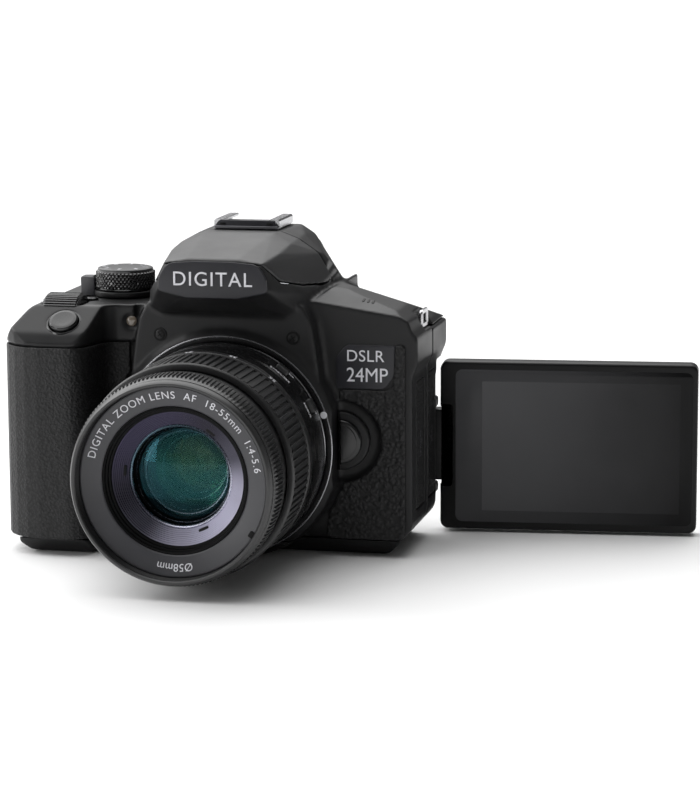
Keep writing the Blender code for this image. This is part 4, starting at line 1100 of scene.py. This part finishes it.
# ---- screen ----
def make_screen():
    swing, tilt = (next(joint for joint in frame["joints"] if joint["name"] == name)
            for name in ("screen_swing", "screen_tilt"))
    pivot = Vector(swing["pos_m"]) / MM
    across = -Vector(tilt["axis"])
    face = Vector((across.y, -across.x, 0))
    turn = Matrix((across, Vector(UP), face)).transposed()
    edge_round, room, room_half, room_round = 2.6, 3.2, 12.6, 0.4
    left, right, half, thick = SCREEN_LEFT, SCREEN_RIGHT, SCREEN_HALF, SCREEN_THICK
    notch = [(left, -half, edge_round), (right, -half, edge_round), (right, half, edge_round),
            (left, half, edge_round), (left, room_half, room_round), (left + room, room_half, room_round),
            (left + room, -room_half, room_round), (left, -room_half, room_round)]
    body_shape = outline(notch)
    pad("screen_rim", body_shape, turn, pivot, -1.6, thick - 0.05, "frame", "screen", 0.9, 5,
            ["screen_bezel", "screen_display"])
    pad("screen_back", body_shape, turn @ FLIP, pivot, 1.75, thick, "shell", "screen", 0.9, 5,
            ["screen_housing"])
    pad("screen_glass", rectangle(7.4, 83.6, -25.0, 25.0, 2.2, 10), turn, pivot, thick - 0.3, thick + 0.02,
            "cover_glass", "screen", 0.06, 2)
    pad("screen_picture", rectangle(16.0, 79.6, -21.2, 21.2, 0.3, 10), turn, pivot, thick - 0.2,
            thick + 0.03, "picture", "screen", 0.01, 1)
    block = rectangle(-1.9, 4.8, -11.6, 11.6, 0.8)
    pad("hinge_front", block, turn, pivot, -0.1, 3.2, "frame", "screen_hinge", 0.6, 4,
            ["screen_hinge_block"])
    pad("hinge_back", block, turn @ FLIP, pivot, 0.0, 3.2, "frame", "screen_hinge", 0.6, 4)


# ---- carried-over nodes ----
KEPT = {
    "sensor": ["image_sensor"], "mirror": ["reflex_mirror", "sub_mirror"], "glass_green": ["rear_element"],
    "clear": ["eyepiece_lens", "focusing_screen"],
    "dark_steel": ["chassis", "lens_lock_pin", "shutter_curtain"],
    "black": ["mirror_box", "shutter_unit", "pentamirror", "battery"],
}


def paint_kept_nodes():
    """Inner nodes keep their CAD shape and get this script's materials."""
    for paint, nodes in KEPT.items():
        for node in nodes:
            mesh = frame["nodes"][node].data
            mesh.materials.clear()
            mesh.materials.append(PAINT[paint])


# ---- stage ----
def make_stage():
    paint, nodes, links, shader = new_material("paper")
    where = place_node(nodes, links)
    cloud = noise_node(nodes, links, where, 0.004, FINE)
    links.new(ramp_node(nodes, links, cloud, (0.86, 0.86, 0.86), (0.9, 0.9, 0.9)),
            shader.inputs["Base Color"])
    put(shader, Roughness=0.9)
    reach = 9.0
    mesh = bpy.data.meshes.new("floor")
    mesh.from_pydata([(-reach, -reach, 0), (reach, -reach, 0), (reach, reach, 0), (-reach, reach, 0)], [],
            [(0, 1, 2, 3)])
    mesh.materials.append(paint)
    floor = linked("floor", mesh)
    floor.location.z = -0.0002


def add_light(name, place, aim, size, power):
    light = bpy.data.lights.new(name, "AREA")
    light.shape = "RECTANGLE"
    light.size, light.size_y = size
    light.energy = power
    holder = linked(name, light)
    holder.location = place
    holder.rotation_euler = (Vector(aim) - Vector(place)).to_track_quat("-Z", "Y").to_euler()


def make_light():
    """A sky that is bright overhead and behind, dark round the horizon, and two soft boxes on the left."""
    world = bpy.data.worlds.new("studio")
    bpy.context.scene.world = world
    world.use_nodes = True
    nodes, links = world.node_tree.nodes, world.node_tree.links
    where = nodes.new("ShaderNodeTexCoord")
    brightest = Vector((-0.38, 0.30, 0.88)).normalized()
    toward = vector_node(nodes, links, "DOT_PRODUCT", where.outputs["Generated"], brightest)
    glow = nodes.new("ShaderNodeMapRange")
    glow.interpolation_type = "SMOOTHSTEP"
    put(glow, From_Min=0.50, From_Max=0.86, To_Min=0.13, To_Max=2.7)
    links.new(toward.outputs["Value"], glow.inputs["Value"])
    links.new(glow.outputs[0], nodes["Background"].inputs["Strength"])
    put(nodes["Background"], Color=(1, 1, 1, 1))
    target = (0.0, 0.0, 0.05)
    add_light("front_left_box", (-0.76, -0.74, 0.26), target, (0.36, 0.50), 2.6)
    add_light("left_box", (-1.05, 0.05, 0.55), target, (0.35, 0.80), 4.0)


def make_camera():
    azimuth, elevation, roll = math.radians(12.55), math.radians(9.84), math.radians(0.25)
    distance, focal = 920.5, 133.0
    target = Vector((38.2, -20.0, 49.2))
    away = Vector((math.sin(azimuth) * math.cos(elevation), -math.cos(azimuth) * math.cos(elevation),
            math.sin(elevation)))
    data = bpy.data.cameras.new("camera")
    data.lens = focal
    data.sensor_width = 36.0
    data.clip_end = 100
    holder = linked("camera", data)
    holder.location = (target + away * distance) * MM
    holder.rotation_euler = ((-away).to_track_quat("-Z", "Y").to_matrix() @ Matrix.Rotation(-roll, 3,
            "Z")).to_euler()
    bpy.context.scene.camera = holder
    bpy.context.scene.view_settings.view_transform = "Standard"


make_shells()
make_rear_barrel()
make_zoom_ring()
make_focus_ring()
make_inner_barrel()
make_name_ring()
make_glass()
make_switches()
make_mount()
make_release()
make_panel()
make_hot_shoe()
make_flash_window()
make_mode_dial()
make_power_lever()
make_main_dial()
make_shutter_button()
button_cap("iso_button", 2.1, 0.25, 0.5, 0.1, UP)
make_front_details()
make_lugs()
make_doors()
make_back()
make_screen()
paint_kept_nodes()
make_stage()
make_light()
make_camera()
